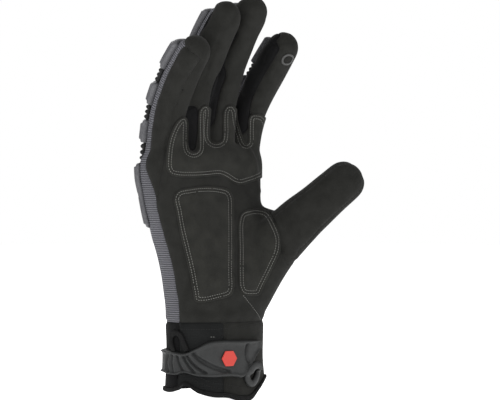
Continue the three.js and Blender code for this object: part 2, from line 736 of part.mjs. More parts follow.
const rubber = { color: 0x646466, roughness: 0.6 };
const darkRubber = { color: 0x222223, roughness: 0.65 };
const tape = { color: 0x1b1b1b, roughness: 0.85 };
const strapRubber = { color: 0x3f4040, roughness: 0.6 };
const red = { color: 0xd8432f, roughness: 0.5 };

const glove = new THREE.Group();
const add = (name, solid, look) => glove.add(piece(name, solid, look));

let taken = null;
for (const panel of PANELS) {
  let solid = shell.intersect(panel.zone(0));
  if (taken) solid = solid.subtract(taken);
  add(panel.name, solid, finish[panel.name]);
  const kept = panel.zone(SEAM_GAP);
  taken = taken ? taken.add(kept) : kept;
}

add("palm_patch", onCloth(frontPrism(PALM_PATCH), PAD_THICK), suede);
add("heel_pad", onCloth(frontPrism(HEEL_PAD), PAD_THICK), suede);
add("thenar_pad", onCloth(frontPrism(THENAR_PAD), PAD_THICK), suede);

FINGERS.forEach((row, i) => {
  add(`${row.name}_guard_strip`, guardStrip(fingers[i], row.guard), darkRubber);
  const under = 2 * SEAT_GAP + GUARD_BASE;
  for (const part of GUARD_ROWS.filter((r) => r.plate)) {
    const solid = guardPlate(fingers[i], part.from, part.to, row.guard, under, under + GUARD_THICK);
    add(`${row.name}_guard_${part.plate}`, solid, rubber);
  }
});
for (const row of KNUCKLE_ROWS) {
  const low = CUFF_LENGTH + KNUCKLE_RISE.low * PALM_LENGTH;
  const high = CUFF_LENGTH + KNUCKLE_RISE.high * PALM_LENGTH;
  const solid = guardPlate(palm, low, high, row.angles, -WALL, SEAT_GAP + GUARD_THICK);
  add(`${row.name}_knuckle_plate`, seated(solid), rubber);
}

add("hem_band", hemBand(), tape);
add("wrist_strap", wristStrap(), strapRubber);
const badgeRadius = BADGE_WIDTH / 2;
const hexagon = new THREE.CylinderGeometry(badgeRadius, badgeRadius, BADGE_THICK, 6).rotateX(Math.PI / 2);
const badge = onWrist(hexagon, BADGE_AT, 2 * SEAT_GAP + STRAP_THICK + BADGE_THICK / 2);
add("strap_badge", shaped(badge, (v) => v), red);
add("strap_anchor", ovalRing(palm, ANCHOR_AT.rise * CUFF_LENGTH, ANCHOR_AT.angle, ANCHOR), rubber);
add("pull_loop", ovalRing(palm, LOOP_AT.rise * CUFF_LENGTH, LOOP_AT.angle, PULL_LOOP), tape);
add("touch_ring", ovalRing(index, TOUCH_RING_AT.share, TOUCH_RING_AT.angle, TOUCH_RING), rubber);

export default glove;
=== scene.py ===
# %% [markdown]
# An impact glove for a mechanic's right hand, shown as it is worn: a suede palm with padded patches,
# a ribbed knit back, rubber guards along the fingers and a moulded strap round the wrist. The solids
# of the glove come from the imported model. Here every one of them gets its fine surface: smooth cloth
# with folds and seams, stitches as real thread, moulded rubber with soft edges.

# %% load the fixed frame
import math

import bmesh
import bpy
import numpy as np
from mathutils import Matrix, Vector, kdtree, noise
from mathutils.bvhtree import BVHTree


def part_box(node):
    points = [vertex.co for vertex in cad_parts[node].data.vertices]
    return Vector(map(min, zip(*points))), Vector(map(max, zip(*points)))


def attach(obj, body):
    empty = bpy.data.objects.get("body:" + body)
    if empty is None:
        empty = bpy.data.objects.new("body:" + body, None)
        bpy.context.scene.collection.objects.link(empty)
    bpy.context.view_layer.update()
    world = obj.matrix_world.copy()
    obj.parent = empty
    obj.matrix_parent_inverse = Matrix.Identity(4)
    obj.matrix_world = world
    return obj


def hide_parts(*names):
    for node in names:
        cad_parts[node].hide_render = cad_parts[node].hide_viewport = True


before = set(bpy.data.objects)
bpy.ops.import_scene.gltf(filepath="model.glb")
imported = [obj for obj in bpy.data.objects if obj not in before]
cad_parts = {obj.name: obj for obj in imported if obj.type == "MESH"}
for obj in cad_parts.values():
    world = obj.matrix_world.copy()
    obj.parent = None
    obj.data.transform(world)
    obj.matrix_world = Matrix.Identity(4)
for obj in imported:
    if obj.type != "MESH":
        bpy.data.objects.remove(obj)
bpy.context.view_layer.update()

# %% [markdown]
# The photo was taken from the palm's side, from a little to the left, level with the glove. A long
# lens far away gives the same flat perspective. The aim is a point straight ahead of the lens, so no
# shift is needed. The floor is pale and plain, and three large soft lights leave no hard shadow. A
# light's row holds its name, azimuth, elevation, distance, size and watts.

# %% camera, floor and light
MM = 0.001
VIEW_AZIMUTH = math.radians(-45)
VIEW_DISTANCE = 1.5
AIM_RIGHT = 20.3 * MM
AIM_HEIGHT = 115.1 * MM
LENS = 186.2
SENSOR = 36
to_camera = Vector((math.sin(VIEW_AZIMUTH), -math.cos(VIEW_AZIMUTH), 0))
to_right = Vector((math.cos(VIEW_AZIMUTH), math.sin(VIEW_AZIMUTH), 0))


def make_camera():
    data = bpy.data.cameras.new("camera")
    data.lens = LENS
    data.sensor_width = SENSOR
    camera = bpy.data.objects.new("camera", data)
    camera.location = to_right * AIM_RIGHT + Vector((0, 0, AIM_HEIGHT)) + to_camera * VIEW_DISTANCE
    camera.rotation_euler = to_camera.to_track_quat("Z", "Y").to_euler()
    bpy.context.scene.collection.objects.link(camera)
    bpy.context.scene.camera = camera


FLOOR_SIZE = 8
FLOOR_DROP = 0.6 * MM
FLOOR_GLOW = 1.0
PAPER_LIGHT = 0.3
LIGHTS = (
    ("key", -65, 35, 1.3, 0.9, 7),
    ("fill", 20, 25, 1.4, 1.2, 3.5),
    ("rim", 150, 45, 1.3, 0.9, 7),
)


def make_floor():
    bm = bmesh.new()
    bmesh.ops.create_grid(bm, x_segments=1, y_segments=1, size=FLOOR_SIZE / 2)
    bmesh.ops.translate(bm, verts=bm.verts, vec=(0, 0, -FLOOR_DROP))
    return new_object("floor", bm)


def new_object(name, bm, smooth=True):
    """An object at the origin with the bmesh as its mesh."""
    mesh = bpy.data.meshes.new(name)
    bm.to_mesh(mesh)
    bm.free()
    if smooth:
        mesh.shade_smooth()
    made = bpy.data.objects.new(name, mesh)
    bpy.context.scene.collection.objects.link(made)
    return made


def add_light(name, azimuth, elevation, distance, size, watts):
    """A square area light that looks at the middle of the glove."""
    data = bpy.data.lights.new(name, "AREA")
    data.size = size
    data.energy = watts
    lamp = bpy.data.objects.new(name, data)
    a = math.radians(azimuth)
    e = math.radians(elevation)
    away = Vector((math.sin(a) * math.cos(e), -math.cos(a) * math.cos(e), math.sin(e)))
    lamp.location = Vector((0, 0, AIM_HEIGHT)) + away * distance
    lamp.rotation_euler = away.to_track_quat("Z", "Y").to_euler()
    bpy.context.scene.collection.objects.link(lamp)


def make_world():
    """White paper round the glove, which lights it less than the camera sees it shine."""
    world = bpy.data.worlds.new("studio")
    world.use_nodes = True
    paper = world.node_tree.nodes["Background"]
    paper.inputs["Color"].default_value = (1, 1, 1, 1)
    ray = world.node_tree.nodes.new("ShaderNodeLightPath")
    level = world.node_tree.nodes.new("ShaderNodeMapRange")
    level.inputs["To Min"].default_value = PAPER_LIGHT
    world.node_tree.links.new(ray.outputs["Is Camera Ray"], level.inputs["Value"])
    world.node_tree.links.new(level.outputs["Result"], paper.inputs["Strength"])
    bpy.context.scene.world = world


make_camera()
floor = make_floor()
for row in LIGHTS:
    add_light(*row)
make_world()
bpy.context.scene.view_settings.view_transform = "Standard"
print("camera at", [round(v, 3) for v in bpy.context.scene.camera.location])

# %% [markdown]
# The cloth follows the hand inside it. The same few tables that shape the solids give its sections
# here too: the palm is a stack of rounded boxes, and each finger is a rounded box that runs along a
# curved line of three bones. A skin turns a station along the piece, an angle round it and a height
# above it into a point, and every trim on the glove is laid out in those three numbers. Lengths are
# in millimetres and angles in degrees, from the thumb's side over the back of the hand.

# %% sizes and tables of the hand
CUFF_LENGTH = 45
PALM_LENGTH = 100
PALM_WIDTH = 86
PALM_DEPTH = 35
WRIST_WIDTH = 63
WRIST_DEPTH = 46
FINGER_LENGTH = 111.5
FINGER_WIDTH = 19.4
FINGER_DEPTH = 20
THUMB_LENGTH = 104
THUMB_WIDTH = 25
THUMB_DEPTH = 23
WEB_WIDTH = 30
WEB_DEPTH = 14


def table(columns, *rows):
    """Rows of numbers as one array for each named column."""
    return {name: np.array(values, float) for name, values in zip(columns.split(), zip(*rows))}


PALM = table(
    "cuff palm across back wide deep thin power",
    (0.0, 0, 0, 0, 0.13, -0.1, 1, 2.1),
    (0.5, 0, 0, 0, 0, 0, 1, 2.1),
    (1.0, 0, 0, 0, 0, 0, 1, 2.2),
    (1.0, 0.12, 0, 0.01, 0.06, 0, 1, 2.2),
    (1.0, 0.24, 0, 0.03, 0.2, 0.11, 1, 2.25),
    (1.0, 0.36, 0, 0.09, 0.36, 0.3, 1, 2.3),
    (1.0, 0.48, -0.012, 0.14, 0.54, 0.49, 1, 2.4),
    (1.0, 0.6, -0.018, 0.19, 0.76, 0.68, 1, 2.45),
    (1.0, 0.72, -0.024, 0.235, 0.86, 0.91, 1.02, 2.6),
    (1.0, 0.84, -0.034, 0.255, 0.9, 1, 1.05, 2.9),
    (1.0, 0.93, -0.036, 0.235, 0.88, 1, 0.99, 3),
    (1.0, 0.98, -0.036, 0.19, 0.8, 1, 0.84, 2.6),
    (1.0, 1.01, -0.036, 0.13, 0.66, 1, 0.6, 2.4),
)
PALM["z"] = PALM["cuff"] * CUFF_LENGTH + PALM["palm"] * PALM_LENGTH
PALM_TOP = PALM["z"][-1]
CAP_HEIGHT = 8

HEM = table(
    "angle rise",
    (0, 0.2),
    (45, 0.12),
    (144, 0.13),
    (186, 0.15),
    (196, 0.22),
    (216, 0.12),
    (234, 0.07),
    (251, 0.055),
    (264, 0.01),
    (279, 0.01),
    (292, 0.12),
    (315, 0.26),
    (360, 0.2),
)
HEM_REACH = 0.55

FINGERS = {
    "index": dict(at=(0.29, 0.31, 0.8), splay=4, lean=(14, 34, 37), bone=(0.4, 0.235, 0.24)),
    "middle": dict(at=(0.052, 0.25, 0.8), splay=0, lean=(9, 23, 37), bone=(0.44, 0.31, 0.285)),
    "ring": dict(at=(-0.17, 0.25, 0.78), splay=-1.5, lean=(8, 26, 36), bone=(0.43, 0.305, 0.285)),
    "pinky": dict(at=(-0.385, 0.26, 0.77), splay=-2.5, lean=(8, 28, 40), bone=(0.36, 0.235, 0.25)),
}
FINGER_WIDE = {"index": 0.97, "middle": 1, "ring": 0.98, "pinky": 0.97}
FINGER_SECTIONS = table(
    "at wide deep",
    (0, 1, 1.25),
    (0.16, 1, 1.16),
    (0.32, 1, 1.03),
    (0.6, 1, 1),
    (0.8, 0.98, 0.97),
    (1, 0.9, 0.88),
)
THUMB_ROOT = (0.237, -0.166, 0.104)
THUMB_BONES = ((45, 65, 0.305), (45, 48, 0.224), (42, 41.5, 0.156), (43, 41, 0.31))
THUMB_SIDE = np.array((0.5, -0.5, -0.7071))
THUMB_SECTIONS = table(
    "at wide deep",
    (0, 0.95, 1.1),
    (0.28, 1.16, 1.3),
    (0.52, 1.13, 1.12),
    (0.68, 1.02, 1),
    (0.85, 0.97, 0.96),
    (1, 0.92, 0.88),
)
WEB_JOINTS = ((0.27, 0, 0.3), (0.37, -0.12, 0.5), (0.42, -0.16, 0.655))
WEB_SIDE = np.array((0.25, -0.97, 0))
WEB_SECTIONS = table("at wide deep", (0, 1, 1), (0.5, 1, 1), (1, 0.9, 0.8))


def curve(s, start, end, leave, arrive, step=1):
    """A smooth way from start to end as s goes from 0 to 1, with a slope at each end."""
    rise = (3 * s**2 - 2 * s**3) * (end - start)
    return start + rise + (s**3 - 2 * s**2 + s) * step * leave + (s**3 - s**2) * step * arrive


def read(rows, column, key, place):
    """Column key of a table at a place along another column, smoothly between the rows."""
    x = rows[column]
    y = rows[key]
    slope = np.diff(y) / np.diff(x)
    m = np.concatenate([slope[:1], (slope[:-1] + slope[1:]) / 2, slope[-1:]])
    i = np.clip(np.searchsorted(x, place) - 1, 0, len(x) - 2)
    step = x[i + 1] - x[i]
    s = np.clip((place - x[i]) / step, 0, 1)
    return curve(s, y[i], y[i + 1], m[i], m[i + 1], step)


def rounded_box(angle, half_wide, half_deep, power):
    """A point of a box's outline that a power from 2, an oval, upwards makes squarer."""
    c = np.cos(angle)
    s = np.sin(angle)
    x = half_wide * np.sign(c) * np.abs(c) ** (2 / power)
    y = half_deep * np.sign(s) * np.abs(s) ** (2 / power)
    return x, y


def smooth_step(value, low, high):
    s = np.clip((value - low) / (high - low), 0, 1)
    return s * s * (3 - 2 * s)


def unit(rows):
    """Rows of vectors, each made one long."""
    return rows / np.linalg.norm(rows, axis=1)[:, None]


def measured(line):
    """How far along a line each of its points lies."""
    return np.concatenate([[0], np.cumsum(np.linalg.norm(np.diff(line, axis=0), axis=1))])


def hand_place(across, back, up):
    """A place in the hand as a point: shares of the palm's width, depth and length."""
    return np.array((across * PALM_WIDTH, back * PALM_DEPTH, CUFF_LENGTH + up * PALM_LENGTH), float)


print("palm top at", PALM_TOP, "mm")

# %% [markdown]
# The palm's skin and the limbs' skins. A limb's centre line is a smooth curve through its joints,
# measured off by length, so that a station of one half lies half way along the finger.


# %% skins of the palm and of a limb
class PalmSkin:
    radius = (WRIST_WIDTH + WRIST_DEPTH) / 4
    length = 1

    def point(self, station, degrees, grow=0):
        z, degrees = np.broadcast_arrays(np.asarray(station, float), np.asarray(degrees, float))
        keys = ("wide", "deep", "thin", "power", "across", "back")
        wide, deep, thin, power, across, back = (read(PALM, "z", key, z) for key in keys)
        width = WRIST_WIDTH + wide * (PALM_WIDTH - WRIST_WIDTH)
        depth = (WRIST_DEPTH + deep * (PALM_DEPTH - WRIST_DEPTH)) * thin
        x, y = rounded_box(np.radians(degrees), width / 2 + grow, depth / 2 + grow, power)
        rise = hem_rise(degrees) * np.maximum(0, 1 - z / (HEM_REACH * CUFF_LENGTH))
        cap = grow * smooth_step(z, PALM_TOP - CAP_HEIGHT, PALM_TOP)
        return np.stack([across * PALM_WIDTH + x, back * PALM_DEPTH + y, z + rise + cap], -1)


def hem_rise(degrees):
    return read(HEM, "angle", "rise", np.mod(degrees, 360)) * CUFF_LENGTH


LINE_STEPS = 60
TIP_START = 0.88
TIP_POWER = 2.6
TIP_CLOSED = 0.995
LIMB_POWER = 2.5
LOCATE_STEPS = 120


def smooth_line(joints):
    """Points of a centripetal curve through the joints."""
    p = [2 * joints[0] - joints[1], *joints, 2 * joints[-1] - joints[-2]]
    found = [joints[0]]
    for a, b, c, d in zip(p, p[1:], p[2:], p[3:]):
        t0, t1, t2 = (math.sqrt(np.linalg.norm(v)) for v in (b - a, c - b, d - c))
        m0 = ((b - a) / t0 - (c - a) / (t0 + t1) + (c - b) / t1) * t1
        m1 = ((c - b) / t1 - (d - b) / (t1 + t2) + (d - c) / t2) * t1
        for step in range(1, LINE_STEPS + 1):
            found.append(curve(step / LINE_STEPS, b, c, m0, m1))
    return np.array(found)


class LimbSkin:
    def __init__(self, joints, side, width, depth, sections):
        line = smooth_line([np.array(j, float) for j in joints])
        run = measured(line)
        self.length = run[-1]
        self.share = run / run[-1]
        self.line = line
        self.tangent = unit(np.gradient(line, run, axis=0))
        self.back = unit(np.cross(self.tangent, side))
        self.across = np.cross(self.back, self.tangent)
        self.width = width
        self.depth = depth
        self.sections = sections
        self.radius = (width + depth) / 4

    def along(self, values, at):
        return np.stack([np.interp(at, self.share, values[:, k]) for k in range(3)], -1)

    def point(self, station, degrees, grow=0):
        at, degrees, grow = np.broadcast_arrays(*(np.asarray(v, float) for v in (station, degrees, grow)))
        over = np.clip((at - TIP_START) / (1 - TIP_START), 0, TIP_CLOSED)
        shrink = np.sqrt(1 - over**TIP_POWER)
        wide = read(self.sections, "at", "wide", at) * self.width / 2
        deep = read(self.sections, "at", "deep", at) * self.depth / 2
        x, y = rounded_box(np.radians(degrees), (wide + grow) * shrink, (deep + grow) * shrink, LIMB_POWER)
        place = self.along(self.line, at) + self.along(self.across, at) * x[..., None]
        place += self.along(self.back, at) * y[..., None]
        return place + self.along(self.tangent, at) * (grow * np.where(at > 0.5, over, 0))[..., None]

    def locate(self, points):
        """The station, angle and distance from the centre line of each point."""
        every = max(1, len(self.line) // LOCATE_STEPS)
        line = self.line[::every]
        gap = (points**2).sum(1)[:, None] + (line**2).sum(1)[None] - 2 * points @ line.T
        nearest = gap.argmin(1) * every
        away = points - self.line[nearest]
        side = (away * self.across[nearest]).sum(1)
        back = (away * self.back[nearest]).sum(1)
        return self.share[nearest], np.degrees(np.arctan2(back, side)) % 360, np.hypot(side, back)


def finger_skin(row, wide):
    splay = math.radians(row["splay"])
    upwards = np.array((math.sin(splay), 0, math.cos(splay)))
    joints = [hand_place(*row["at"])]
    for lean, bone in zip(row["lean"], row["bone"]):
        step = upwards * math.cos(math.radians(lean)) - np.array((0, math.sin(math.radians(lean)), 0))
        joints.append(joints[-1] + step * bone * FINGER_LENGTH)
    side = np.array((math.cos(splay), 0, -math.sin(splay)))
    return LimbSkin(joints, side, wide * FINGER_WIDTH, wide * FINGER_DEPTH, FINGER_SECTIONS)


def thumb_skin():
    joints = [hand_place(*THUMB_ROOT)]
    for turn, rise, bone in THUMB_BONES:
        turn = math.radians(turn)
        rise = math.radians(rise)
        flat = math.cos(rise)
        step = np.array((flat * math.cos(turn), -flat * math.sin(turn), math.sin(rise)))
        joints.append(joints[-1] + step * bone * THUMB_LENGTH)
    return LimbSkin(joints, THUMB_SIDE, THUMB_WIDTH, THUMB_DEPTH, THUMB_SECTIONS)


palm = PalmSkin()
fingers = {name: finger_skin(row, FINGER_WIDE[name]) for name, row in FINGERS.items()}
thumb = thumb_skin()
limbs = [*fingers.values(), thumb]
web = LimbSkin([hand_place(*j) for j in WEB_JOINTS], WEB_SIDE, WEB_WIDTH, WEB_DEPTH, WEB_SECTIONS)
print("finger lengths:", {name: round(skin.length, 1) for name, skin in fingers.items()})

# %% [markdown]
# The cloth's whole outer face comes first, in one piece. Each skin is a grid that is wrapped round
# it, and a voxel remesh melts the seven of them together, as the real panels are sewn over one hand.
# A little smoothing then takes the steps of the voxels away, and more of it lets the webs between the
# fingers and at the thumb run over softly, as stretched cloth does.

# %% the hand's smooth form
VOXEL = 1.15
LOFT_SIDES = 48
PALM_SIDES = 96
PALM_START = -6
PALM_ROWS = 70
LIMB_ROWS = 32
TIP_ROWS = 16
WEB_ROWS = 24
MERGE = 0.01 * MM


def wrap(bm, skin, stations, sides=LOFT_SIDES):
    """A grid wrapped round a skin, through the given stations."""
    rows = len(stations) - 1
    verts = bmesh.ops.create_grid(bm, x_segments=sides, y_segments=rows, size=1)["verts"]
    flat = np.array([v.co[:2] for v in verts])
    row = np.rint((flat[:, 1] + 1) / 2 * rows).astype(int)
    places = skin.point(stations[row], (flat[:, 0] + 1) * 180) * MM
    for vert, place in zip(verts, places):
        vert.co = place
    bmesh.ops.remove_doubles(bm, verts=verts, dist=MERGE)


def applied(made):
    """The object with its modifiers worked into its mesh."""
    graph = bpy.context.evaluated_depsgraph_get()
    mesh = bpy.data.meshes.new_from_object(made.evaluated_get(graph))
    made.modifiers.clear()
    made.data = mesh
    return made


def hand_form():
    bm = bmesh.new()
    wrap(bm, palm, np.linspace(PALM_START, PALM_TOP, PALM_ROWS), PALM_SIDES)
    for skin in limbs:
        tip = 1 - (1 - TIP_START) * (1 - np.linspace(0, 1, TIP_ROWS)) ** 2
        wrap(bm, skin, np.concatenate([np.linspace(0, TIP_START, LIMB_ROWS)[:-1], tip]))
    wrap(bm, web, np.linspace(0, 1, WEB_ROWS))
    bmesh.ops.holes_fill(bm, edges=bm.edges, sides=0)
    bmesh.ops.recalc_face_normals(bm, faces=bm.faces)
    form = new_object("hand_form", bm)
    remesh = form.modifiers.new("melt", "REMESH")
    remesh.mode = "VOXEL"
    remesh.voxel_size = VOXEL * MM
    return applied(form)


form = hand_form()
print("form:", len(form.data.vertices), "points")

# %% [markdown]
# Smoothing moves each point towards the middle of its neighbours. The first passes only fill the
# sharp hollows where two skins met, because cloth can't follow a sharp inner corner, and the last
# few are gentle and go everywhere.

# %% smoothing the form
FILL_PASSES = 40
FILL_STEP = 0.6
NORMALS_EVERY = 8
HOLLOW_PULL = 0.03
EVEN_PASSES = 4
EVEN_STEP = 0.5


class Net:
    """The points of a mesh as one array in millimetres, with their neighbours."""

    def __init__(self, mesh):
        self.mesh = mesh
        count = len(mesh.vertices)
        edges = np.zeros(2 * len(mesh.edges), int)
        mesh.edges.foreach_get("vertices", edges)
        self.ends = np.concatenate([edges.reshape(-1, 2), edges.reshape(-1, 2)[:, ::-1]])
        self.degree = np.bincount(self.ends[:, 0], minlength=count)[:, None]
        flat = np.zeros(3 * count)
        mesh.vertices.foreach_get("co", flat)
        self.points = flat.reshape(-1, 3) / MM

    def mean(self, values):
        """The mean of the neighbours' values."""
        count = len(self.degree)
        here, there = self.ends.T
        columns = [np.bincount(here, column[there], count) for column in values.T]
        return np.stack(columns, 1) / self.degree

    def store(self):
        self.mesh.vertices.foreach_set("co", (self.points * MM).ravel())
        self.mesh.update()

    def normals(self):
        self.store()
        flat = np.zeros(self.points.size)
        self.mesh.vertex_normals.foreach_get("vector", flat)
        return flat.reshape(-1, 3)


def smooth_form(net):
    for turn in range(FILL_PASSES):
        if turn % NORMALS_EVERY == 0:
            normals = net.normals()
        pull = net.mean(net.points) - net.points
        hollow = np.clip((pull * normals).sum(1) / HOLLOW_PULL, 0, 1)
        net.points += pull * hollow[:, None] * FILL_STEP
    for _ in range(EVEN_PASSES):
        net.points += (net.mean(net.points) - net.points) * EVEN_STEP
    net.store()


net = Net(form.data)
smooth_form(net)
print("smoothed", len(net.points), "points")

# %% [markdown]
# Much of the glove's detail lies where the photo shows it: stitched outlines, creases, grooves. Those
# are drawn as lines in the photo's own pixels and laid on the cloth along the camera's sight lines,
# so that they sit on the surface from every side. PIXEL is the size of a pixel at the wrist's middle.

# %% from the photo's pixels to the cloth
PIXEL = 0.58
PHOTO_CENTRE = np.array((250, 200))
DRAWN_STEP = 2
CAMERA_MM = np.array(bpy.context.scene.camera.location) / MM
RIGHT = np.array(to_right)
BACK = np.array(to_camera)


def seen(points):
    """The photo's pixel that each point in millimetres shows at."""
    away = points - CAMERA_MM
    scale = VIEW_DISTANCE / MM / -(away @ BACK) / PIXEL
    return PHOTO_CENTRE + np.stack([away @ RIGHT * scale, -away[:, 2] * scale], 1)


def sight(pixel):
    """The direction from the camera through a pixel."""
    x, y = (np.asarray(pixel, float) - PHOTO_CENTRE) * PIXEL
    away = RIGHT * x - np.array((0, 0, y)) - BACK * (VIEW_DISTANCE / MM)
    return away / np.linalg.norm(away)


def rounded(corners, closed=False, step=0.5):
    """Evenly spaced points of a smooth line through the corners."""
    corners = [np.array(c, float) for c in corners]
    if closed:
        line = smooth_line([*corners[-2:], *corners, *corners[:2]])[2 * LINE_STEPS:-LINE_STEPS]
    else:
        line = smooth_line(corners)
    run = measured(line)
    count = max(2, int(round(run[-1] / step)) + 1)
    places = np.linspace(0, run[-1], count)
    return np.stack([np.interp(places, run, line[:, k]) for k in range(line.shape[1])], 1)


def from_line(points, line, closed=False):
    """The distance of each point to a drawn line, in the line's own units."""
    ends = np.roll(line, -1, 0) if closed else line[1:]
    starts = line if closed else line[:-1]
    best = np.full(len(points), 1e9)
    for start, end in zip(starts, ends):
        along = end - start
        share = np.clip((points - start) @ along / max(along @ along, 1e-9), 0, 1)
        best = np.minimum(best, np.linalg.norm(points - start - share[:, None] * along, axis=1))
    return best


def inside(points, line):
    """True where a point lies inside a closed line."""
    x, y = points[:, 0], points[:, 1]
    found = np.zeros(len(points), bool)
    for (x0, y0), (x1, y1) in zip(line, np.roll(line, -1, 0)):
        if y0 != y1:
            found ^= ((y0 > y) != (y1 > y)) & (x < (x1 - x0) * (y - y0) / (y1 - y0) + x0)
    return found


print("wrist's middle shows at", seen(np.zeros((1, 3)))[0].round(1))

# %% [markdown]
# The cloth panels are cut out of the form along the seams that the solids have. Each point knows how
# far it lies from every panel's solid. Where two of those distances are equal there is a seam, so the
# faces are split along that line, and each face then goes to the panel that it is nearest to. The
# distances are smoothed first, which turns the solids' short straight seams into curves. On the
# fingers' sides the cloth that the photo shows wins inside outlines given in pixels.

# %% the cloth panels
CLOTH = (
    "cuff_elastic", "cuff_palm", "cuff_back", "thumb_back", "thumb_front", "index_fourchette",
    "middle_fourchette", "ring_fourchette", "pinky_side", "back_panel", "palm_panel",
)
FAR = 9
SEAM_PASSES = 10
SEAM_STEP = 0.6
ON_SEAM = 0.02


def solid_tree(name):
    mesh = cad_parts[name].data
    return BVHTree.FromPolygons([v.co for v in mesh.vertices], [p.vertices for p in mesh.polygons])


def distances(points, name):
    """How far each point lies from a node's solid, up to FAR."""
    low, high = (np.array(corner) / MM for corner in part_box(name))
    near = np.flatnonzero(((points > low - FAR) & (points < high + FAR)).all(1))
    tree = solid_tree(name)
    found = np.full(len(points), float(FAR))
    for i in near:
        gap = tree.find_nearest(points[i] * MM, FAR * MM)[3]
        if gap is not None:
            found[i] = gap / MM
    return found


def split_along(bm, value):
    """Splits the faces of a bmesh along the line where a value of its points is nought."""
    held = {vert: value(vert) for vert in bm.verts}
    new = []
    for edge in list(bm.edges):
        a, b = edge.verts
        if (held[a] > ON_SEAM and held[b] < -ON_SEAM) or (held[a] < -ON_SEAM and held[b] > ON_SEAM):
            new.append(bmesh.utils.edge_split(edge, a, held[a] / (held[a] - held[b]))[1])
    on_line = new + [vert for vert, at in held.items() if abs(at) <= ON_SEAM and vert.is_valid]
    if new:
        bmesh.ops.connect_verts(bm, verts=on_line)


SHOWN_CLOTH = (
    ("ring_fourchette", ((189, 112), (198, 108), (197.5, 140), (196, 150), (192, 151.5), (188.5, 148),
                         (187.5, 125))),
    ("middle_fourchette", ((222, 70), (225, 74), (218, 92), (214.5, 110), (213, 121), (209, 122),
                           (210, 105), (214, 86))),
    ("index_fourchette", ((240, 132), (240, 105), (243, 88), (247, 75), (252, 60), (258, 46), (266, 34),
                          (277, 28), (280, 34), (269, 42), (263, 52), (258, 65), (253, 80), (249, 100),
                          (247, 130))),
    ("palm_panel", ((201, 50), (199, 34), (207, 22), (214, 12), (224, 10), (224, 40), (212, 62))),
    ("palm_panel", ((237, 3), (251, 2), (251, 25), (243, 34), (237, 30))),
)
SHOWN_LEAD = 6


def sew_lines(net):
    """A bmesh of the form, split along all seams, with each face's panel as its material index."""
    gaps = np.stack([distances(net.points, name) for name in CLOTH], 1)
    shown = net.normals() @ BACK > 0
    pixels = seen(net.points)
    for name, corners in SHOWN_CLOTH:
        within = shown & inside(pixels, rounded(corners, True, DRAWN_STEP))
        gaps[within] += SHOWN_LEAD
        gaps[within, CLOTH.index(name)] = 0
    for _ in range(SEAM_PASSES):
        gaps += (net.mean(gaps) - gaps) * SEAM_STEP
    for k, name in enumerate(CLOTH):
        layer = net.mesh.attributes.new("gap_" + name, "FLOAT", "POINT")
        layer.data.foreach_set("value", gaps[:, k])
    bm = bmesh.new()
    bm.from_mesh(net.mesh)
    hem_fade = HEM_REACH * CUFF_LENGTH

    def above_hem(vert):
        x, y, z = vert.co / MM
        if z > hem_fade:
            return 1.0
        rise = hem_rise(math.degrees(math.atan2(y / WRIST_DEPTH, x / WRIST_WIDTH)))
        return float((z - rise) / (1 - rise / hem_fade))

    split_along(bm, above_hem)
    below = [face for face in bm.faces if sum(above_hem(v) for v in face.verts) < 0]
    bmesh.ops.delete(bm, geom=below, context="FACES")
    layers = [bm.verts.layers.float["gap_" + name] for name in CLOTH]
    for own in layers[:-1]:
        others = [layer for layer in layers if layer is not own]
        split_along(bm, lambda vert: min(vert[layer] for layer in others) - vert[own])
    for face in bm.faces:
        sums = [sum(vert[layer] for vert in face.verts) for layer in layers]
        face.material_index = sums.index(min(sums))
    return bm

# %% [markdown]
# Worn cloth isn't smooth. The thumb's base has a deep fold and wrinkles beside it, the palm has a
# raised pleat below the index finger, and the whole surface is a little uneven. Each fold is a line
# in the photo's pixels with a half width and a depth in millimetres. A negative depth is a ridge.

# %% folds in the cloth
FOLDS = (
    (((266, 209), (275, 224), (280, 240), (283, 254), (289, 265)), 1.5, 1.7),
    (((283, 206), (286, 220), (292, 236), (301, 250)), 1.8, 0.7),
    (((294, 212), (298, 226), (305, 240)), 1.6, 0.5),
    (((272, 211), (276, 218), (279, 228)), 1.0, -0.5),
    (((283, 216), (288, 232), (293, 246), (296, 257)), 1.3, -0.6),
    (((247, 148), (251, 160), (255, 174), (259, 192)), 1.2, -0.9),
    (((240, 185), (248, 192), (257, 202)), 1.6, 0.5),
    (((176, 66), (166, 95), (161, 122), (157, 150), (154, 175)), 1.0, 0.6),
    (((234, 16), (222, 34), (214, 52), (205, 78)), 1.0, 0.5),
    (((262, 62), (267, 50), (276, 43), (293, 43)), 0.8, 0.5),
    (((205, 60), (197, 84), (190, 104)), 1.3, -0.4),
    (((236, 38), (224, 66), (213, 96)), 1.3, -0.4),
    (((262, 36), (252, 62), (244, 92)), 1.3, -0.4),
    (((266, 78), (258, 95), (252, 112)), 1.6, 0.4),
    (((180, 300), (200, 309), (226, 308), (252, 300)), 2.6, 0.5),
    (((182, 314), (206, 318), (236, 315), (258, 309)), 2.2, -0.4),
)
FACING = 0.05
FACING_RISE = 6
FOLD_FADE = 12
UNEVEN = 0.3
UNEVEN_SIZE = 15


def fold_cloth(net):
    normals = net.normals()
    pixels = seen(net.points)
    shown = np.clip((normals @ BACK - FACING) * FACING_RISE, 0, 1)
    rise = np.array([noise.noise(Vector(p) / UNEVEN_SIZE) for p in net.points]) * UNEVEN
    for corners, width, depth in FOLDS:
        line = rounded(corners, step=DRAWN_STEP)
        ends = 1 - smooth_step(from_line(pixels, line), 0, FOLD_FADE)
        near = np.flatnonzero(ends > 0)
        away = from_line(pixels[near], line) * PIXEL
        rise[near] -= depth * np.exp(-((away / width) ** 2)) * shown[near]
    net.points += normals * rise[:, None]
    net.store()


fold_cloth(net)
print("folds:", len(FOLDS))

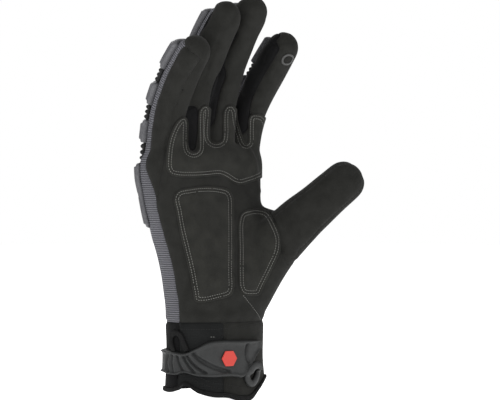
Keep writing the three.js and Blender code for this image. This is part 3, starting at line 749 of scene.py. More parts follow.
# %% [markdown]
# Where two panels meet, the cloth turns in to the seam, so every seam is a soft groove. A point's lead
# is how much nearer its own panel's solid is than any other, and falls to nought on the seam. The
# run of a point is how far it lies up the hand and along its finger, and the knit's ribs follow it.

# %% cloth pieces with sewn edges
SEAM_DIP = 0.9
THUMB_DIP = 0.35
SEAM_SOFT = 1.3
CLOTH_THICK = 1.5
RUN_ON = (0.1, 0.4)
RUN_REACH = 4
PANEL_SLOTS = {
    "cuff_elastic": "elastic", "cuff_palm": "suede", "cuff_back": "cuff_cloth", "thumb_back": "suede",
    "thumb_front": "suede", "index_fourchette": "cuff_cloth", "middle_fourchette": "cuff_cloth",
    "ring_fourchette": "cuff_cloth", "pinky_side": "suede", "back_panel": "knit", "palm_panel": "suede",
}
pieces = []


def runs(points):
    """How far each point lies up the hand and on along its finger or thumb."""
    run = points[:, 2].copy()
    for skin in limbs:
        share, _, away = skin.locate(points)
        near = (away < skin.radius + RUN_REACH) & (share > RUN_ON[0])
        on = smooth_step(share, *RUN_ON) * near
        root = skin.line[0][2]
        run = run * (1 - on) + (root + share * skin.length) * on
    return run


def mark_runs(made):
    """Gives an object its points' runs as the attribute that the knit reads."""
    points = Net(made.data).points
    made.data.attributes.new("run", "FLOAT", "POINT").data.foreach_set("value", runs(points))


def finish_piece(made, slot, *nodes):
    """Hands a finished piece to the frame: what it rides on and its finish, and hides the solids that it
    stands for.
    """
    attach(made, "root")
    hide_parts(*nodes)
    made.data.materials.clear()
    pieces.append((made, slot))
    return made


def turn_in(bm):
    """Pushes the cloth in along its seams, and less along the thumb's, which lie flat."""
    bm.normal_update()
    layers = [(name, bm.verts.layers.float["gap_" + name]) for name in CLOTH]
    for vert in bm.verts:
        (first, name), (second, other) = sorted((vert[layer], name) for name, layer in layers)[:2]
        dip = SEAM_DIP * (THUMB_DIP if "thumb" in name + other else 1)
        vert.co -= vert.normal * dip * math.exp(-(((second - first) / SEAM_SOFT) ** 2)) * MM


def panel(sewn, name):
    bm = sewn.copy()
    index = CLOTH.index(name)
    others = [face for face in bm.faces if face.material_index != index]
    bmesh.ops.delete(bm, geom=others, context="FACES")
    for face in bm.faces:
        face.material_index = 0
    made = new_object(name + "_cloth", bm)
    wall = made.modifiers.new("wall", "SOLIDIFY")
    wall.thickness = CLOTH_THICK * MM
    wall.offset = -1
    applied(made)
    mark_runs(made)
    return finish_piece(made, PANEL_SLOTS[name], name)


sewn = sew_lines(net)
turn_in(sewn)
cloth_tree = BVHTree.FromBMesh(sewn)
panels = [panel(sewn, name) for name in CLOTH]
bpy.data.objects.remove(form)
print("panels:", {made.name: len(made.data.polygons) for made in panels})

# %% [markdown]
# Solid trims are made one way: an open sheet that lies on the glove is doubled, and the copy is raised
# by a height that falls to nought at the edge, where the two are joined. The height's profile gives
# each trim its soft edges, ribs, rims and stitched grooves.


# %% raised trims
SLAB_LOW = 0.1
JOIN = 0.02 * MM


def raised(bm, tops):
    """Closes an open sheet with a copy of it whose points lie at tops, in millimetres."""
    verts = list(bm.verts)
    faces = list(bm.faces)
    border = [vert for vert in verts if vert.is_boundary]
    copies = bmesh.ops.duplicate(bm, geom=verts + list(bm.edges) + faces)["vert_map"]
    for vert, top in zip(verts, tops):
        copies[vert].co = Vector(top) * MM
    bmesh.ops.reverse_faces(bm, faces=faces)
    edges = border + [copies[vert] for vert in border]
    bmesh.ops.remove_doubles(bm, verts=edges, dist=JOIN)
    bmesh.ops.recalc_face_normals(bm, faces=bm.faces)
    return bm


def sheet_points(bm):
    """A bmesh's points in millimetres, and its normals."""
    bm.normal_update()
    points = np.array([vert.co for vert in bm.verts]) / MM
    return points, np.array([vert.normal for vert in bm.verts])


def slab(place, across, along, rise):
    """A slab on the grid place(u, v, grow), raised by rise(u, v) millimetres."""
    bm = bmesh.new()
    bmesh.ops.create_grid(bm, x_segments=across, y_segments=along, size=1)
    u, v = np.array([vert.co[:2] for vert in bm.verts]).T / 2 + 0.5
    for vert, spot in zip(bm.verts, place(u, v, np.full(len(u), SLAB_LOW))):
        vert.co = spot * MM
    return raised(bm, place(u, v, SLAB_LOW + rise(u, v)))


def edge_round(away, soft):
    """A quarter round: 0 at the edge and 1 from soft millimetres inwards."""
    s = np.clip(away / soft, 0, 1)
    return np.sqrt(np.maximum(0, 1 - (1 - s) ** 2))


def from_edge(u, v, wide, long):
    """How far a point of a slab lies from the slab's edge, in millimetres."""
    return np.minimum(np.minimum(u, 1 - u) * wide, np.minimum(v, 1 - v) * long)


GUARD_ANGLES = {"index": (50, 116), "middle": (52, 128), "ring": (52, 130), "pinky": (54, 149)}
GUARD_ROWS = table(
    "start end plate",
    (0.16, 0.265, 0),
    (0.265, 0.4, 1),
    (0.4, 0.48, 0),
    (0.48, 0.62, 2),
    (0.62, 0.71, 0),
    (0.71, 0.9, 3),
)
GUARD_BASE = 1
PLATE_BASE = GUARD_BASE + 0.3
GUARD_THICK = 2.6
GUARD_CORNER = 0.12
CORNER_POWER = 8
GUARD_EDGE = 1.2
GUARD_STEP = (1.8, 2.6)
STEP_SHARE = 0.38
PLATE_GROOVE_FROM = (2.6, 3.4)
PLATE_GROOVE_SOFT = 0.7
PLATE_GROOVE_SHARE = 0.3
PLATE_GRID = 0.5
PLATE_LEAST = 24
STRIP_INSET = 9
STRIP_EDGE = 1
STRIP_GRID = (0.9, 0.4)
STRIP_LEAST = 20
RIBS = 3
RIB_HEIGHT = 1.7
RIB_BLUNT = 0.7
RIB_EDGE = 2
KNUCKLES = {"index": (40, 70), "middle": (75, 90), "ring": (94, 110), "pinky": (115, 164)}
KNUCKLE_RISE = (0.54, 0.915)


def blunt(u, v):
    """Draws a square's corners in, so that a slab's outline is a rounded rectangle."""
    corner = np.abs(2 * u - 1) ** CORNER_POWER
    return 0.5 + (v - 0.5) * (1 - GUARD_CORNER * corner)


def guard(skin, angles, stations, base):
    """A moulded plate: a soft edge, a step inwards of it and a shallow groove down its middle."""
    wide = math.radians(angles[1] - angles[0]) * skin.radius
    long = (stations[1] - stations[0]) * (skin.length if skin is not palm else 1)

    def place(u, v, grow):
        station = stations[0] + blunt(u, v) * (stations[1] - stations[0])
        return skin.point(station, angles[0] + u * (angles[1] - angles[0]), grow)

    def rise(u, v):
        away = from_edge(u, v, wide, long)
        groove = smooth_step(away, *PLATE_GROOVE_FROM)
        groove *= np.exp(-(((v - 0.5) * long / PLATE_GROOVE_SOFT) ** 2))
        side = (base + GUARD_THICK * (1 - STEP_SHARE)) * edge_round(away, GUARD_EDGE)
        top = STEP_SHARE * smooth_step(away, *GUARD_STEP) - PLATE_GROOVE_SHARE * groove
        return side + GUARD_THICK * top

    across, along = (max(PLATE_LEAST, int(size / PLATE_GRID)) for size in (wide, long))
    return slab(place, across, along, rise)


def rib_strip(skin, angles):
    """The flexible strip below the plates, with three round ribs in each gap between them."""
    angles = (angles[0] + STRIP_INSET, angles[1] - STRIP_INSET)
    wide = math.radians(angles[1] - angles[0]) * skin.radius
    start = GUARD_ROWS["start"][0]
    end = GUARD_ROWS["end"][-1]

    def place(u, v, grow):
        return skin.point(start + v * (end - start), angles[0] + u * (angles[1] - angles[0]), grow)

    def rise(u, v):
        at = start + v * (end - start)
        away = from_edge(u, v, wide, (end - start) * skin.length)
        height = GUARD_BASE * edge_round(away, STRIP_EDGE)
        for low, high, plate in zip(*GUARD_ROWS.values()):
            if plate == 0:
                wave = np.abs(np.sin((at - low) / (high - low) * RIBS * math.pi)) ** RIB_BLUNT
                height += RIB_HEIGHT * wave * ((at > low) & (at < high)) * edge_round(away, RIB_EDGE)
        return height

    across = max(STRIP_LEAST, int(wide / STRIP_GRID[0]))
    return slab(place, across, int((end - start) * skin.length / STRIP_GRID[1]), rise)


def make_guards():
    for name, angles in GUARD_ANGLES.items():
        skin = fingers[name]
        made = new_object(name + "_ribs", rib_strip(skin, angles))
        finish_piece(made, "dark_rubber", name + "_guard_strip")
        for low, high, plate in zip(*GUARD_ROWS.values()):
            if plate:
                made = new_object(f"{name}_plate_{plate:.0f}", guard(skin, angles, (low, high), PLATE_BASE))
                finish_piece(made, "guard_rubber", f"{name}_guard_{plate:.0f}")
        stations = [CUFF_LENGTH + rise * PALM_LENGTH for rise in KNUCKLE_RISE]
        made = new_object(name + "_knuckle", guard(palm, KNUCKLES[name], stations, 0))
        finish_piece(made, "guard_rubber", name + "_knuckle_plate")


make_guards()
print("pieces with the guards:", len(pieces))

# %% [markdown]
# The strap is moulded rubber. It starts on the back of the wrist, goes round the pinky's side and ends
# in a slanted tip on the palm. Rims stand up along its two long edges. Where it folds over at the left,
# grooves fan out from the fold towards the tip, as the photo shows them.

# %% the strap
STRAP = table(
    "angle low high",
    (60, 0.311, 0.667), (85, 0.31, 0.665), (110, 0.305, 0.66), (135, 0.3, 0.655), (160, 0.3, 0.65),
    (180, 0.27, 0.635), (198, 0.252, 0.625), (212, 0.258, 0.685), (228, 0.271, 0.767),
    (244, 0.284, 0.784), (258, 0.295, 0.78), (268, 0.302, 0.776), (276, 0.43, 0.771),
    (285, 0.58, 0.762), (294, 0.68, 0.752),
)
STRAP_WIDTH = 0.45 * CUFF_LENGTH
STRAP_RUN = 130
STRAP_GRID = (260, 40)
STRAP_THICK = 2.2
STRAP_EDGE = 1.1
RIM_IN = 1.3
RIM_SOFT = 0.9
RIM_HIGH = 0.9
RIM_EDGE = 0.6
STRAP_GROOVES = (
    ((190, 349), (197, 357), (207, 363), (219, 368.5), (230, 371.5)),
    ((192, 353), (200, 361), (212, 367.5), (225, 372)),
    ((184, 352), (190, 361), (197, 368), (206, 373.5)),
    ((181, 353), (187, 364), (195, 374.5)),
    ((176, 353), (179, 364), (185, 375.5)),
    ((172, 353), (171, 362), (173, 375)),
    ((168, 354), (166, 362), (168, 372)),
    ((248, 342), (246.5, 349), (246.5, 356), (250, 364), (253, 369)),
)
GROOVE_DEPTH = 2
GROOVE_SOFT = 0.6
GROOVES_FROM = 165
GROOVES_IN = (1.6, 2.6)


def make_strap():
    first, last = STRAP["angle"][[0, -1]]

    def place(u, v, grow):
        angle = first + u * (last - first)
        low = read(STRAP, "angle", "low", angle)
        high = read(STRAP, "angle", "high", angle)
        return palm.point((low + v * (high - low)) * CUFF_LENGTH, angle, grow)

    def rise(u, v):
        away = from_edge(u, v, STRAP_RUN, STRAP_WIDTH)
        flat = STRAP_THICK * edge_round(away, STRAP_EDGE)
        rim = RIM_HIGH * np.exp(-(((away - RIM_IN) / RIM_SOFT) ** 2))
        spots = seen(place(u, v, STRAP_THICK))
        shown = (first + u * (last - first)) > GROOVES_FROM
        cut = np.zeros(len(u))
        for groove in STRAP_GROOVES:
            off = from_line(spots, rounded(groove)) * PIXEL
            cut = np.maximum(cut, np.exp(-((off / GROOVE_SOFT) ** 2)))
        inner = smooth_step(away, *GROOVES_IN)
        return flat + rim * edge_round(away, RIM_EDGE) - GROOVE_DEPTH * cut * shown * inner

    return slab(place, *STRAP_GRID, rise)


finish_piece(new_object("moulded_strap", make_strap()), "strap_rubber", "wrist_strap")
print("strap:", len(pieces[-1][0].data.polygons), "faces")

# %% [markdown]
# The padded patches are cut from the same form, by the outlines that the photo shows. Each one is
# raised above the cloth with a round edge and a fuller middle, and sinks in along its two rows of
# stitches. An outline is a closed line in pixels. Where the palm's patch goes round the index
# finger's side, out of the photo's sight, it ends where the cloth has turned away.

# %% padded patches
PAD_LINES = {}
PAD_LINES["palm_patch"] = (
    (166.5, 168), (166.5, 156), (168, 143), (171.5, 131.5), (176, 122.5), (181, 117.5), (185, 117),
    (188, 121), (188.3, 134), (188.5, 146), (190, 150.5), (194, 152), (197.5, 150), (198.3, 143),
    (198, 125), (198.8, 111), (202, 106), (207, 105), (210.3, 109), (210, 122), (209.5, 134),
    (211.5, 140.5), (216.5, 142.5), (221, 140.5), (222.5, 134), (222.5, 120), (223.5, 110),
    (227, 105.5), (232.5, 105), (236.5, 109.5), (238.5, 122), (242, 134), (245.5, 143), (247.3, 143),
    (248, 130), (248.5, 119), (251, 114.5), (256, 113.5), (264, 116), (270, 130), (270, 160),
    (264, 176), (257, 180), (250, 182.5), (240, 185), (233, 183), (226, 178.5), (220, 176),
    (205, 177), (190, 177.5), (178, 177), (170, 174.5),
)
PAD_LINES["heel_pad"] = (
    (173.5, 198), (176, 212), (179, 229), (184, 250), (189, 271), (193, 292), (195.5, 301.5),
    (205, 302.5), (217, 300), (230, 296), (233.5, 291), (233.8, 270), (234, 240), (233.8, 215),
    (233, 197), (229, 190), (220, 187), (205, 186), (190, 187.5), (178, 190.5),
)
PAD_LINES["thenar_pad"] = (
    (238, 222), (238, 250), (238, 275), (239, 288), (243, 294.5), (252, 296), (259, 295), (264, 286),
    (272, 270), (280, 252), (281, 238), (276, 224), (268, 211.5), (258, 208.5), (248, 209.5), (241, 213),
)
PAD_LINE_STEP = 1
STITCH_ROWS = (2.4, 5.2)
PAD_EDGE = 1.3
PAD_RISE = 1.0
PAD_PUFF = 0.8
PAD_PUFF_FROM = (3, 12)
PAD_DIP = 0.55
PAD_DIP_SOFT = 1.2
PAD_SHOWN = 5
PAD_LOW = 0.06
AROUND = -0.35
AROUND_SLACK = 0.2
AROUND_PIXELS = 12
BORDER_PIXELS = 3


def pad_sheet(line):
    """The part of the form inside an outline, as seen by the camera."""
    bm = bmesh.new()
    bm.from_mesh(net.mesh)
    bm.normal_update()
    pixels = seen(net.points)
    low = line.min(0) - BORDER_PIXELS
    high = line.max(0) + BORDER_PIXELS
    facing = net.normals() @ BACK
    near = ((pixels > low) & (pixels < high)).all(1) & (facing > AROUND - AROUND_SLACK)
    bm.verts.ensure_lookup_table()
    bmesh.ops.delete(bm, geom=[bm.verts[i] for i in np.flatnonzero(~near)], context="VERTS")
    bmesh.ops.subdivide_edges(bm, edges=bm.edges, cuts=1, use_grid_fill=True, smooth=1)
    points, normals = sheet_points(bm)
    turned = normals @ BACK
    spots = seen(points)
    signed = from_line(spots, line, True) * np.where(inside(spots, line), 1, -1)
    held = dict(zip(bm.verts, np.minimum(signed, (turned - AROUND) * AROUND_PIXELS)))

    def value(vert):
        return held.get(vert, 0.0)

    split_along(bm, value)
    outside = [face for face in bm.faces if sum(value(vert) for vert in face.verts) < 0]
    bmesh.ops.delete(bm, geom=outside, context="FACES")
    return largest(bm)


def largest(bm):
    """Keeps only the biggest body of a bmesh."""
    left = set(bm.faces)
    best = []
    while left:
        stack = [left.pop()]
        body = []
        while stack:
            face = stack.pop()
            body.append(face)
            for edge in face.edges:
                for other in edge.link_faces:
                    if other in left:
                        left.remove(other)
                        stack.append(other)
        if len(body) > len(best):
            best = body
    keep = set(best)
    bmesh.ops.delete(bm, geom=[face for face in bm.faces if face not in keep], context="FACES")
    return bm


def pad(name, corners):
    """A padded patch in an outline, handed to the frame. Gives it with its line for the stitches."""
    line = rounded(corners, True, PAD_LINE_STEP)
    bm = pad_sheet(line)
    points, normals = sheet_points(bm)
    border = [edge for edge in bm.edges if edge.is_boundary]
    ends = [[np.array(vert.co) / MM for vert in edge.verts] for edge in border]
    tree = kdtree.KDTree(len(ends))
    for i, (a, b) in enumerate(ends):
        tree.insert((a + b) / 2, i)
    tree.balance()
    away = np.array([tree.find(p)[2] for p in points])
    on_edge = np.array([vert.is_boundary for vert in bm.verts])
    away[on_edge] = 0
    pixels = from_line(seen(points), line, True)
    shown = np.clip(normals @ BACK * PAD_SHOWN, 0, 1)
    dip = sum(np.exp(-(((pixels - row) / PAD_DIP_SOFT) ** 2)) for row in STITCH_ROWS) * shown
    rise = PAD_RISE * edge_round(away, PAD_EDGE) + PAD_PUFF * smooth_step(away, *PAD_PUFF_FROM)
    rise -= PAD_DIP * dip * edge_round(away, PAD_EDGE)
    for vert, point, normal in zip(bm.verts, points, normals):
        vert.co = (point + normal * PAD_LOW) * MM
    made = new_object(name + "_pad", raised(bm, points + normals * (PAD_LOW + rise)[:, None]))
    return finish_piece(made, "suede_pad", name), line


patches = [pad(name, corners) for name, corners in PAD_LINES.items()]
print("pads:", [len(made.data.polygons) for made, _ in patches], "faces")

# %% [markdown]
# The small trims. A ring is a round section swept along a closed line, and a tape is a flat section
# swept along an open one. Both take the direction outwards from the cloth below them. The badge is a
# plain hexagon with soft edges.

# %% small trims
BADGE_AT = (0.55, 250)
BADGE_RADIUS = 5
BADGE_THICK = 1.0
BADGE_BEVEL = 0.3
BADGE_LIFT = 0.3 + STRAP_THICK
ANCHOR = dict(
    station=0.32 * CUFF_LENGTH, degrees=282, width=12.5, length=15, rim=4.2, thick=2.4, climb=2.4
)
TOUCH_RING = dict(station=0.88, degrees=264, width=7.5, length=7.5, rim=1.3, thick=0.7)
LOOP_LINE = (
    (175, 352), (172.8, 344), (173, 336.5), (176.5, 333), (180.5, 334.5), (184, 342), (187.5, 351),
)
LOOP_WIDTH = 3
LOOP_THICK = 1.4
LOOP_LIFT = 0.4
LOOP_TURN = 0.4
LOOP_STEP = 1.2
HEM_BAND = 3.4
HEM_THICK = 1.0
HEM_BELOW = 0.5
HEM_GRID = (240, 12)
HEM_EDGE = 0.8
HEM_ROW_IN = 1.0
HEM_ROW_SOFT = 0.35
HEM_ROW_DIP = 0.35
TUBE_SIDES = 10
TUBE_POWER = 2.6
RING_TURNS = 48
RING_SUNK = 0.1
RING_CLIMB = (-0.1, 0.5)


def sweep(line, outs, half_wide, half_thick, closed):
    """A bmesh tube of rounded section along a line, flat against the direction outs."""
    ahead = np.roll(line, -1, 0) - np.roll(line, 1, 0)
    if not closed:
        ahead[0] = line[1] - line[0]
        ahead[-1] = line[-1] - line[-2]
    sides = unit(np.cross(unit(ahead), outs))
    bm = bmesh.new()
    rows = len(line) if closed else len(line) - 1
    bmesh.ops.create_grid(bm, x_segments=TUBE_SIDES, y_segments=rows, size=1)
    for vert in bm.verts:
        row = round((vert.co.y + 1) / 2 * rows) % len(line)
        x, y = rounded_box((vert.co.x + 1) * math.pi, half_wide, half_thick, TUBE_POWER)
        vert.co = (line[row] + sides[row] * x + outs[row] * y) * MM
    bmesh.ops.remove_doubles(bm, verts=bm.verts, dist=MERGE)
    bmesh.ops.holes_fill(bm, edges=bm.edges, sides=0)
    bmesh.ops.recalc_face_normals(bm, faces=bm.faces)
    return bm


def skin_ring(skin, station, degrees, width, length, rim, thick, climb=0):
    """An oval ring on the cloth. Its upper end climbs, where it lies over another piece."""
    turn = np.linspace(0, 2 * math.pi, RING_TURNS, endpoint=False)
    per_mm = 1 if skin is palm else 1 / skin.length
    stations = station + (length - rim) / 2 * np.sin(turn) * per_mm
    angles = degrees + np.degrees((width - rim) / 2 * np.cos(turn) / skin.radius)
    over = climb * smooth_step(np.sin(turn), *RING_CLIMB)
    line = skin.point(stations, angles, 0.0)
    outs = unit(skin.point(stations, angles, 1.0) - line)
    cloth = np.array([cloth_tree.find_nearest(Vector(spot) * MM)[0] for spot in line]) / MM
    lift = thick / 2 + over - RING_SUNK
    return sweep(cloth + outs * lift[:, None], outs, rim / 2, thick / 2, True)


def laid(pixels, tree, lift=0):
    """Points and normals, in mm, where the sight lines through the pixels meet a surface."""
    points = []
    normals = []
    for pixel in pixels:
        spot, normal, _, _ = tree.ray_cast(Vector(CAMERA_MM * MM), Vector(sight(pixel)))
        if spot is not None:
            points.append(np.array(spot) / MM + np.array(normal) * lift)
            normals.append(np.array(normal))
    return np.array(points), np.array(normals)


def make_badge():
    z = BADGE_AT[0] * CUFF_LENGTH
    angle = BADGE_AT[1]
    centre = palm.point(z, angle, BADGE_LIFT + BADGE_THICK / 2)
    round_wrist = palm.point(z, angle + 1, 0) - palm.point(z, angle - 1, 0)
    x = Vector((round_wrist[0], round_wrist[1], 0)).normalized()
    out = x.cross(Vector((0, 0, 1)))
    bm = bmesh.new()
    radius = BADGE_RADIUS * MM
    depth = BADGE_THICK * MM
    bmesh.ops.create_cone(bm, cap_ends=True, segments=6, radius1=radius, radius2=radius, depth=depth)
    bmesh.ops.rotate(bm, verts=bm.verts, matrix=Matrix.Rotation(math.radians(30), 3, "Z"))
    bevel = BADGE_BEVEL * MM
    bmesh.ops.bevel(bm, geom=bm.edges, offset=bevel, segments=3, affect="EDGES", profile=0.5)
    turn = Matrix((x, Vector((0, 0, 1)), out)).transposed().to_4x4()
    bmesh.ops.transform(bm, verts=bm.verts, matrix=Matrix.Translation(Vector(centre) * MM) @ turn)
    bmesh.ops.recalc_face_normals(bm, faces=bm.faces)
    return bm


def make_hem():
    def place(u, v, grow):
        return palm.point(v * HEM_BAND - HEM_BELOW, u * 360, grow)

    def rise(u, v):
        away = np.minimum(v, 1 - v) * HEM_BAND
        row_dip = HEM_ROW_DIP * np.exp(-(((away - HEM_ROW_IN) / HEM_ROW_SOFT) ** 2))
        return HEM_THICK * edge_round(away, HEM_EDGE) - row_dip

    return slab(place, *HEM_GRID, rise)


def make_loop():
    line = rounded(LOOP_LINE, step=LOOP_STEP)
    points, normals = laid(line, cloth_tree, LOOP_THICK / 2 + LOOP_LIFT)
    normals = np.array([Vector(n).lerp(Vector(BACK), LOOP_TURN).normalized() for n in normals])
    return sweep(points, normals, LOOP_WIDTH / 2, LOOP_THICK / 2, False)


finish_piece(new_object("hexagon_badge", make_badge(), smooth=False), "badge", "strap_badge")
finish_piece(new_object("anchor_ring", skin_ring(palm, **ANCHOR)), "strap_rubber", "strap_anchor")
finish_piece(new_object("print_ring", skin_ring(fingers["index"], **TOUCH_RING)), "print", "touch_ring")
finish_piece(new_object("tape_loop", make_loop()), "tape", "pull_loop")
finish_piece(new_object("hem_tape", make_hem()), "tape", "hem_band")
print("pieces:", len(pieces))

# %% [markdown]
# Every stitch is a small bead of thread. The rows on the pads run inside their outlines at the two
# distances where the pads dip. A few more pale rows hold the palm's seams, and rows of dark thread
# hold the cuff and its hem. A row is laid on the surface along the sight lines and then divided by
# the distance from one stitch to the next.

# %% stitches
STITCH_PITCH = 1.45
STITCH_LONG = 0.98
STITCH_WIDE = 0.42
STITCH_HIGH = 0.3
STITCH_LIFT = 0.05
STITCH_REACH = 0.4
BEAD_SIDES = 6
BEAD_ROWS = 4
SEAM_ROW_STEP = 1.5
ROW_BREAK = 6
ROW_JUMP = 8
ROW_SLACK = 0.25
ROW_PART = 40
ROW_LEAST = 3
SEAM_ROWS = (
    ((243, 295), (250, 304), (257, 313), (262, 322)),
    ((247, 150), (252, 162), (257, 176)),
    ((210, 337), (215, 337)),
)
DARK_ROWS = (
    ((180, 329), (205, 329.5), (235, 327.5), (261, 322.5)),
    ((222.5, 331), (222.5, 338)),
    ((225.5, 331), (225.5, 338)),
    ((229, 378), (229, 388)),
    ((232, 378), (232.5, 388)),
    ((192, 379), (202, 384), (216, 388), (240, 391)),
    ((198, 377), (208, 381), (220, 384), (243, 387)),
)


def offset_rows(line, distance):
    """The stretches of a closed line moved inwards, without the parts that come too near it."""
    ahead = unit(np.roll(line, -1, 0) - np.roll(line, 1, 0))
    side = np.stack([-ahead[:, 1], ahead[:, 0]], 1)
    moved = line + side * distance
    if inside(moved, line).mean() <= 0.5:
        moved = line - side * distance
    fine = inside(moved, line) & (from_line(moved, line, True) > distance - ROW_SLACK)
    rows = []
    row = []
    for spot, ok in zip(moved, fine):
        if ok and (not row or np.linalg.norm(spot - row[-1]) < ROW_JUMP):
            row.append(spot)
        elif row:
            rows.append(np.array(row))
            row = [spot] if ok else []
    if row:
        rows.append(np.array(row))
    if len(rows) > 1 and fine[0] and fine[-1]:
        rows[0] = np.concatenate([rows.pop(), rows[0]])
    return [row for row in rows if len(row) > ROW_LEAST]


def sew(bm, points, normals):
    """Adds a bead for each stitch along a row."""
    gaps = np.linalg.norm(np.diff(points, axis=0), axis=1)
    cuts = np.flatnonzero(gaps > ROW_BREAK) + 1
    for part, outs in zip(np.split(points, cuts), np.split(normals, cuts)):
        if len(part) < 2:
            continue
        run = measured(part)
        for at in np.arange(STITCH_PITCH / 2, run[-1], STITCH_PITCH):
            here, a, b, out = (
                Vector([np.interp(at + shift, run, rows[:, k]) for k in range(3)])
                for rows, shift in ((part, 0), (part, -STITCH_REACH), (part, STITCH_REACH), (outs, 0))
            )
            ahead = (b - a).normalized()
            out = (out - ahead * out.dot(ahead)).normalized()
            turn = Matrix((ahead, out.cross(ahead), out)).transposed().to_4x4()
            size = Matrix.Diagonal((STITCH_LONG / 2, STITCH_WIDE / 2, STITCH_HIGH / 2, 1))
            spot = Matrix.Translation((here + out * STITCH_LIFT) * MM) @ turn @ size
            bead = dict(u_segments=BEAD_SIDES, v_segments=BEAD_ROWS, radius=MM)
            bmesh.ops.create_uvsphere(bm, matrix=spot, **bead)


def sewn_rows(name, rows):
    """One object with the stitches of all the rows, each row made apart and then added."""
    beads = bmesh.new()
    for points, normals in rows:
        row = bmesh.new()
        sew(row, points, normals)
        held = bpy.data.meshes.new("row")
        row.to_mesh(held)
        row.free()
        beads.from_mesh(held)
        bpy.data.meshes.remove(held)
    return new_object(name, beads)


def pad_rows():
    for made, line in patches:
        body = bmesh.new()
        body.from_mesh(made.data)
        tree = BVHTree.FromBMesh(body)
        for distance in STITCH_ROWS:
            for row in offset_rows(line, distance):
                for part in np.array_split(row, max(1, len(row) // ROW_PART)):
                    points, normals = laid(part, tree)
                    if len(points) >= ROW_LEAST:
                        yield points, normals


def seam_rows(rows):
    for corners in rows:
        yield laid(rounded(corners, step=SEAM_ROW_STEP), cloth_tree)


for name, rows, finish in (
    ("pad_stitches", pad_rows(), "thread"),
    ("seam_stitches", seam_rows(SEAM_ROWS), "thread"),
    ("dark_stitches", seam_rows(DARK_ROWS), "dark_thread"),
):
    made = sewn_rows(name, rows)
    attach(made, "root")
    pieces.append((made, finish))
    print(made.name, len(made.data.polygons) // (BEAD_SIDES * BEAD_ROWS), "stitches")

# %% [markdown]
# Finishes. Every pattern is worked out from Object coordinates or from the run along the glove, so it
# keeps its real size: fibres of a few tenths of a millimetre, ribs a little over one. Colours are
# written as the photo shows them and turned into linear light.


# %% helpers for finishes
def linear(code):
    """An sRGB colour code as linear light."""
    parts = [int(code[i:i + 2], 16) / 255 for i in (0, 2, 4)]
    return (*(p / 12.92 if p <= 0.04045 else ((p + 0.055) / 1.055) ** 2.4 for p in parts), 1)


def per(size):
    """The scale of a pattern whose features are size millimetres wide."""
    return 1 / (size * MM)


def node(tree, kind, inputs=None, **settings):
    """Adds a node with its settings, and its inputs as values or as links."""
    made = tree.nodes.new(kind)
    for key, value in settings.items():
        setattr(made, key, value)
    for key, value in (inputs or {}).items():
        if isinstance(value, bpy.types.NodeSocket):
            tree.links.new(value, made.inputs[key])
        else:
            made.inputs[key].default_value = value
    return made


def new_finish(name, **base):
    """A material with one shader, and the coordinates that its patterns use."""
    made = bpy.data.materials.new(name)
    made.use_nodes = True
    tree = made.node_tree
    shader = tree.nodes["Principled BSDF"]
    for key, value in base.items():
        shader.inputs[key.replace("_", " ")].default_value = value
    where = node(tree, "ShaderNodeTexCoord").outputs["Object"]
    return made, tree, shader, where


MIX_A, MIX_B, MIX_OUT = 6, 7, 2
FIBRE_DETAIL = 3.0
CLOUD_DETAIL = 4.0
WEAR_FROM = 0.75
WEAR_TO = 1.25


def coloured(tree, shader, share, dark, light):
    """Colours the shader from a dark to a light tone as the share goes from 0 to 1."""
    tones = {0: share, MIX_A: linear(dark), MIX_B: linear(light)}
    mixed = node(tree, "ShaderNodeMix", tones, data_type="RGBA")
    tree.links.new(mixed.outputs[MIX_OUT], shader.inputs["Base Color"])


def mottled(tree, shader, where, tones, sizes):
    """Mixes two tones by fine fibres and by a broad, cloudy wear, and gives the fibres."""
    fine, broad = (per(size) for size in sizes)
    fibres = node(tree, "ShaderNodeTexNoise", {"Vector": where, "Scale": fine, "Detail": FIBRE_DETAIL})
    cloud = node(tree, "ShaderNodeTexNoise", {"Vector": where, "Scale": broad, "Detail": CLOUD_DETAIL})
    patterns = {0: fibres.outputs["Fac"], 1: cloud.outputs["Fac"]}
    both = node(tree, "ShaderNodeMath", patterns, operation="ADD")
    wear = {"Value": both.outputs[0], "From Min": WEAR_FROM, "From Max": WEAR_TO}
    coloured(tree, shader, node(tree, "ShaderNodeMapRange", wear).outputs[0], *tones)
    return fibres.outputs["Fac"]


def bumped(tree, shader, height, depth):
    """Gives the shader a surface raised by a pattern, depth millimetres high."""
    bump = node(tree, "ShaderNodeBump", {"Height": height, "Distance": depth * MM})
    tree.links.new(bump.outputs["Normal"], shader.inputs["Normal"])


def waves(tree, value, pitch):
    """A wave from 0 to 1 with a given pitch, along a value in the same unit."""
    turns = node(tree, "ShaderNodeMath", {0: value, 1: 2 * math.pi / pitch}, operation="MULTIPLY")
    wave = node(tree, "ShaderNodeMath", {0: turns.outputs[0]}, operation="SINE")
    return node(tree, "ShaderNodeMapRange", {"Value": wave.outputs[0], "From Min": -1.0}).outputs[0]


def round_waves(tree, where, pitch):
    """Waves round the glove with a pitch in millimetres, and the height up the glove."""
    axes = node(tree, "ShaderNodeSeparateXYZ", {"Vector": where})
    sides = {0: axes.outputs["X"], 1: axes.outputs["Y"]}
    way = node(tree, "ShaderNodeMath", sides, operation="SUBTRACT")
    return waves(tree, way.outputs[0], pitch * MM), axes.outputs["Z"]


# %% [markdown]
# The cloths. Suede is dull and furry: its fibres catch light at the rim, and it is worn to lighter
# clouds. The knit has a rib every 1.25 mm across the hand, with a fine yarn on each rib. The strips
# between the fingers and the cuff are a tight dark weave, and the elastic is a coarser one.

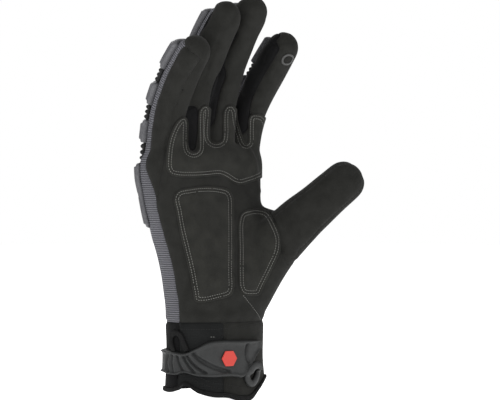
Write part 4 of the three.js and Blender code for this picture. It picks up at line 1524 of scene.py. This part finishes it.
# %% cloth finishes
KNIT_PITCH = 1.25
YARN_PITCH = 0.7
WEAVE_PITCH = 0.55
ELASTIC_PITCH = 0.9
YARN_SHARE = 0.35
KNIT_DEPTH = 0.3
WEAVE_DEPTH = 0.15
WEAVE_SIZES = (0.4, 9)
NAP_SIZES = (0.35, 7)
NAP_DEPTH = 0.16
NAP = dict(Roughness=0.93, Specular_IOR_Level=0.12, Sheen_Weight=0.03)


def suede(name, *tones):
    # A soft, dull nap: fine fibres in the bump and broad worn clouds in the colour.
    made, tree, shader, where = new_finish(name, **NAP)
    bumped(tree, shader, mottled(tree, shader, where, tones, NAP_SIZES), NAP_DEPTH)
    return made


def rib_knit():
    # Grey ribs with dark gaps between them, whose dark is painted shade, broken up by the loops of the
    # yarn.
    made, tree, shader, where = new_finish("ribbed_knit", Roughness=0.85, Specular_IOR_Level=0.2)
    run = node(tree, "ShaderNodeAttribute", attribute_name="run").outputs["Fac"]
    ribs = waves(tree, run, KNIT_PITCH)
    loops, _ = round_waves(tree, where, YARN_PITCH)
    yarn = node(tree, "ShaderNodeMath", {0: loops, 1: ribs}, operation="MULTIPLY")
    parts = {0: yarn.outputs[0], 1: YARN_SHARE, 2: ribs}
    height = node(tree, "ShaderNodeMath", parts, operation="MULTIPLY_ADD")
    # The colour follows the ribs' height, so the low gaps between them get painted shade.
    coloured(tree, shader, ribs, "3e3e41", "74747a")
    bumped(tree, shader, height.outputs[0], KNIT_DEPTH)
    return made


def weave(name, pitch, *tones):
    # A tight weave: two crossing sets of fine threads.
    made, tree, shader, where = new_finish(name, Roughness=0.8, Specular_IOR_Level=0.15)
    mottled(tree, shader, where, tones, WEAVE_SIZES)
    upright, up = round_waves(tree, where, pitch)
    level = waves(tree, up, pitch * MM)
    threads = node(tree, "ShaderNodeMath", {0: upright, 1: level}, operation="MULTIPLY")
    bumped(tree, shader, threads.outputs[0], WEAVE_DEPTH)
    return made


# %% [markdown]
# Rubber, thread, badge and floor. The guards and the strap are dull moulded rubber with a fine pebbled
# grain. The floor is plain and pale, and glows, so that it runs into the white behind it.


# %% rubber and other finishes
RUBBER_SIZES = (1.2, 12)
GRAIN_DEPTH = 0.05


def rubber(name, roughness, grain, *tones):
    # Dull moulded rubber: an even colour with faint scuffs, and a pebbled grain that spreads the light.
    made, tree, shader, where = new_finish(name, Roughness=roughness, Specular_IOR_Level=0.3)
    mottled(tree, shader, where, tones, RUBBER_SIZES)
    pebbles = node(tree, "ShaderNodeTexVoronoi", {"Vector": where, "Scale": per(grain)})
    bumped(tree, shader, pebbles.outputs["Distance"], GRAIN_DEPTH)
    return made


def plain(name, code, roughness, grain):
    # One even colour, with a slight roughness of its surface.
    made, tree, shader, where = new_finish(name, Roughness=roughness, Base_Color=linear(code))
    grains = node(tree, "ShaderNodeTexNoise", {"Vector": where, "Scale": per(grain)})
    bumped(tree, shader, grains.outputs["Fac"], GRAIN_DEPTH)
    return made


finishes = {
    "suede": suede("palm_suede", "1f1f1d", "292927"),
    "suede_pad": suede("pad_suede", "232321", "2f2f2c"),
    "knit": rib_knit(),
    "cuff_cloth": weave("dark_weave", WEAVE_PITCH, "0b0b0c", "141415"),
    "elastic": weave("corded_elastic", ELASTIC_PITCH, "141515", "1c1d1d"),
    "tape": weave("woven_tape", WEAVE_PITCH, "141414", "202020"),
    "guard_rubber": rubber("guard_rubber", 0.55, 0.5, "505053", "606063"),
    "dark_rubber": rubber("rib_rubber", 0.6, 0.5, "0c0c0d", "151516"),
    "strap_rubber": rubber("strap_rubber", 0.55, 0.45, "292a2a", "323333"),
    "badge": plain("red_badge", "c63a2f", 0.5, 0.6),
    "print": plain("printed_ring", "40403f", 0.6, 0.5),
    "thread": plain("pale_thread", "7a7a76", 0.8, 0.2),
    "dark_thread": plain("black_thread", "0d0d0d", 0.8, 0.2),
}
for made, slot in pieces:
    made.data.materials.append(finishes[slot])
pale = plain("pale_floor", "f4f4f4", 0.9, 30)
glow = pale.node_tree.nodes["Principled BSDF"].inputs
glow["Emission Color"].default_value = (1, 1, 1, 1)
glow["Emission Strength"].default_value = FLOOR_GLOW
floor.data.materials.append(pale)
print("finishes:", len(finishes))
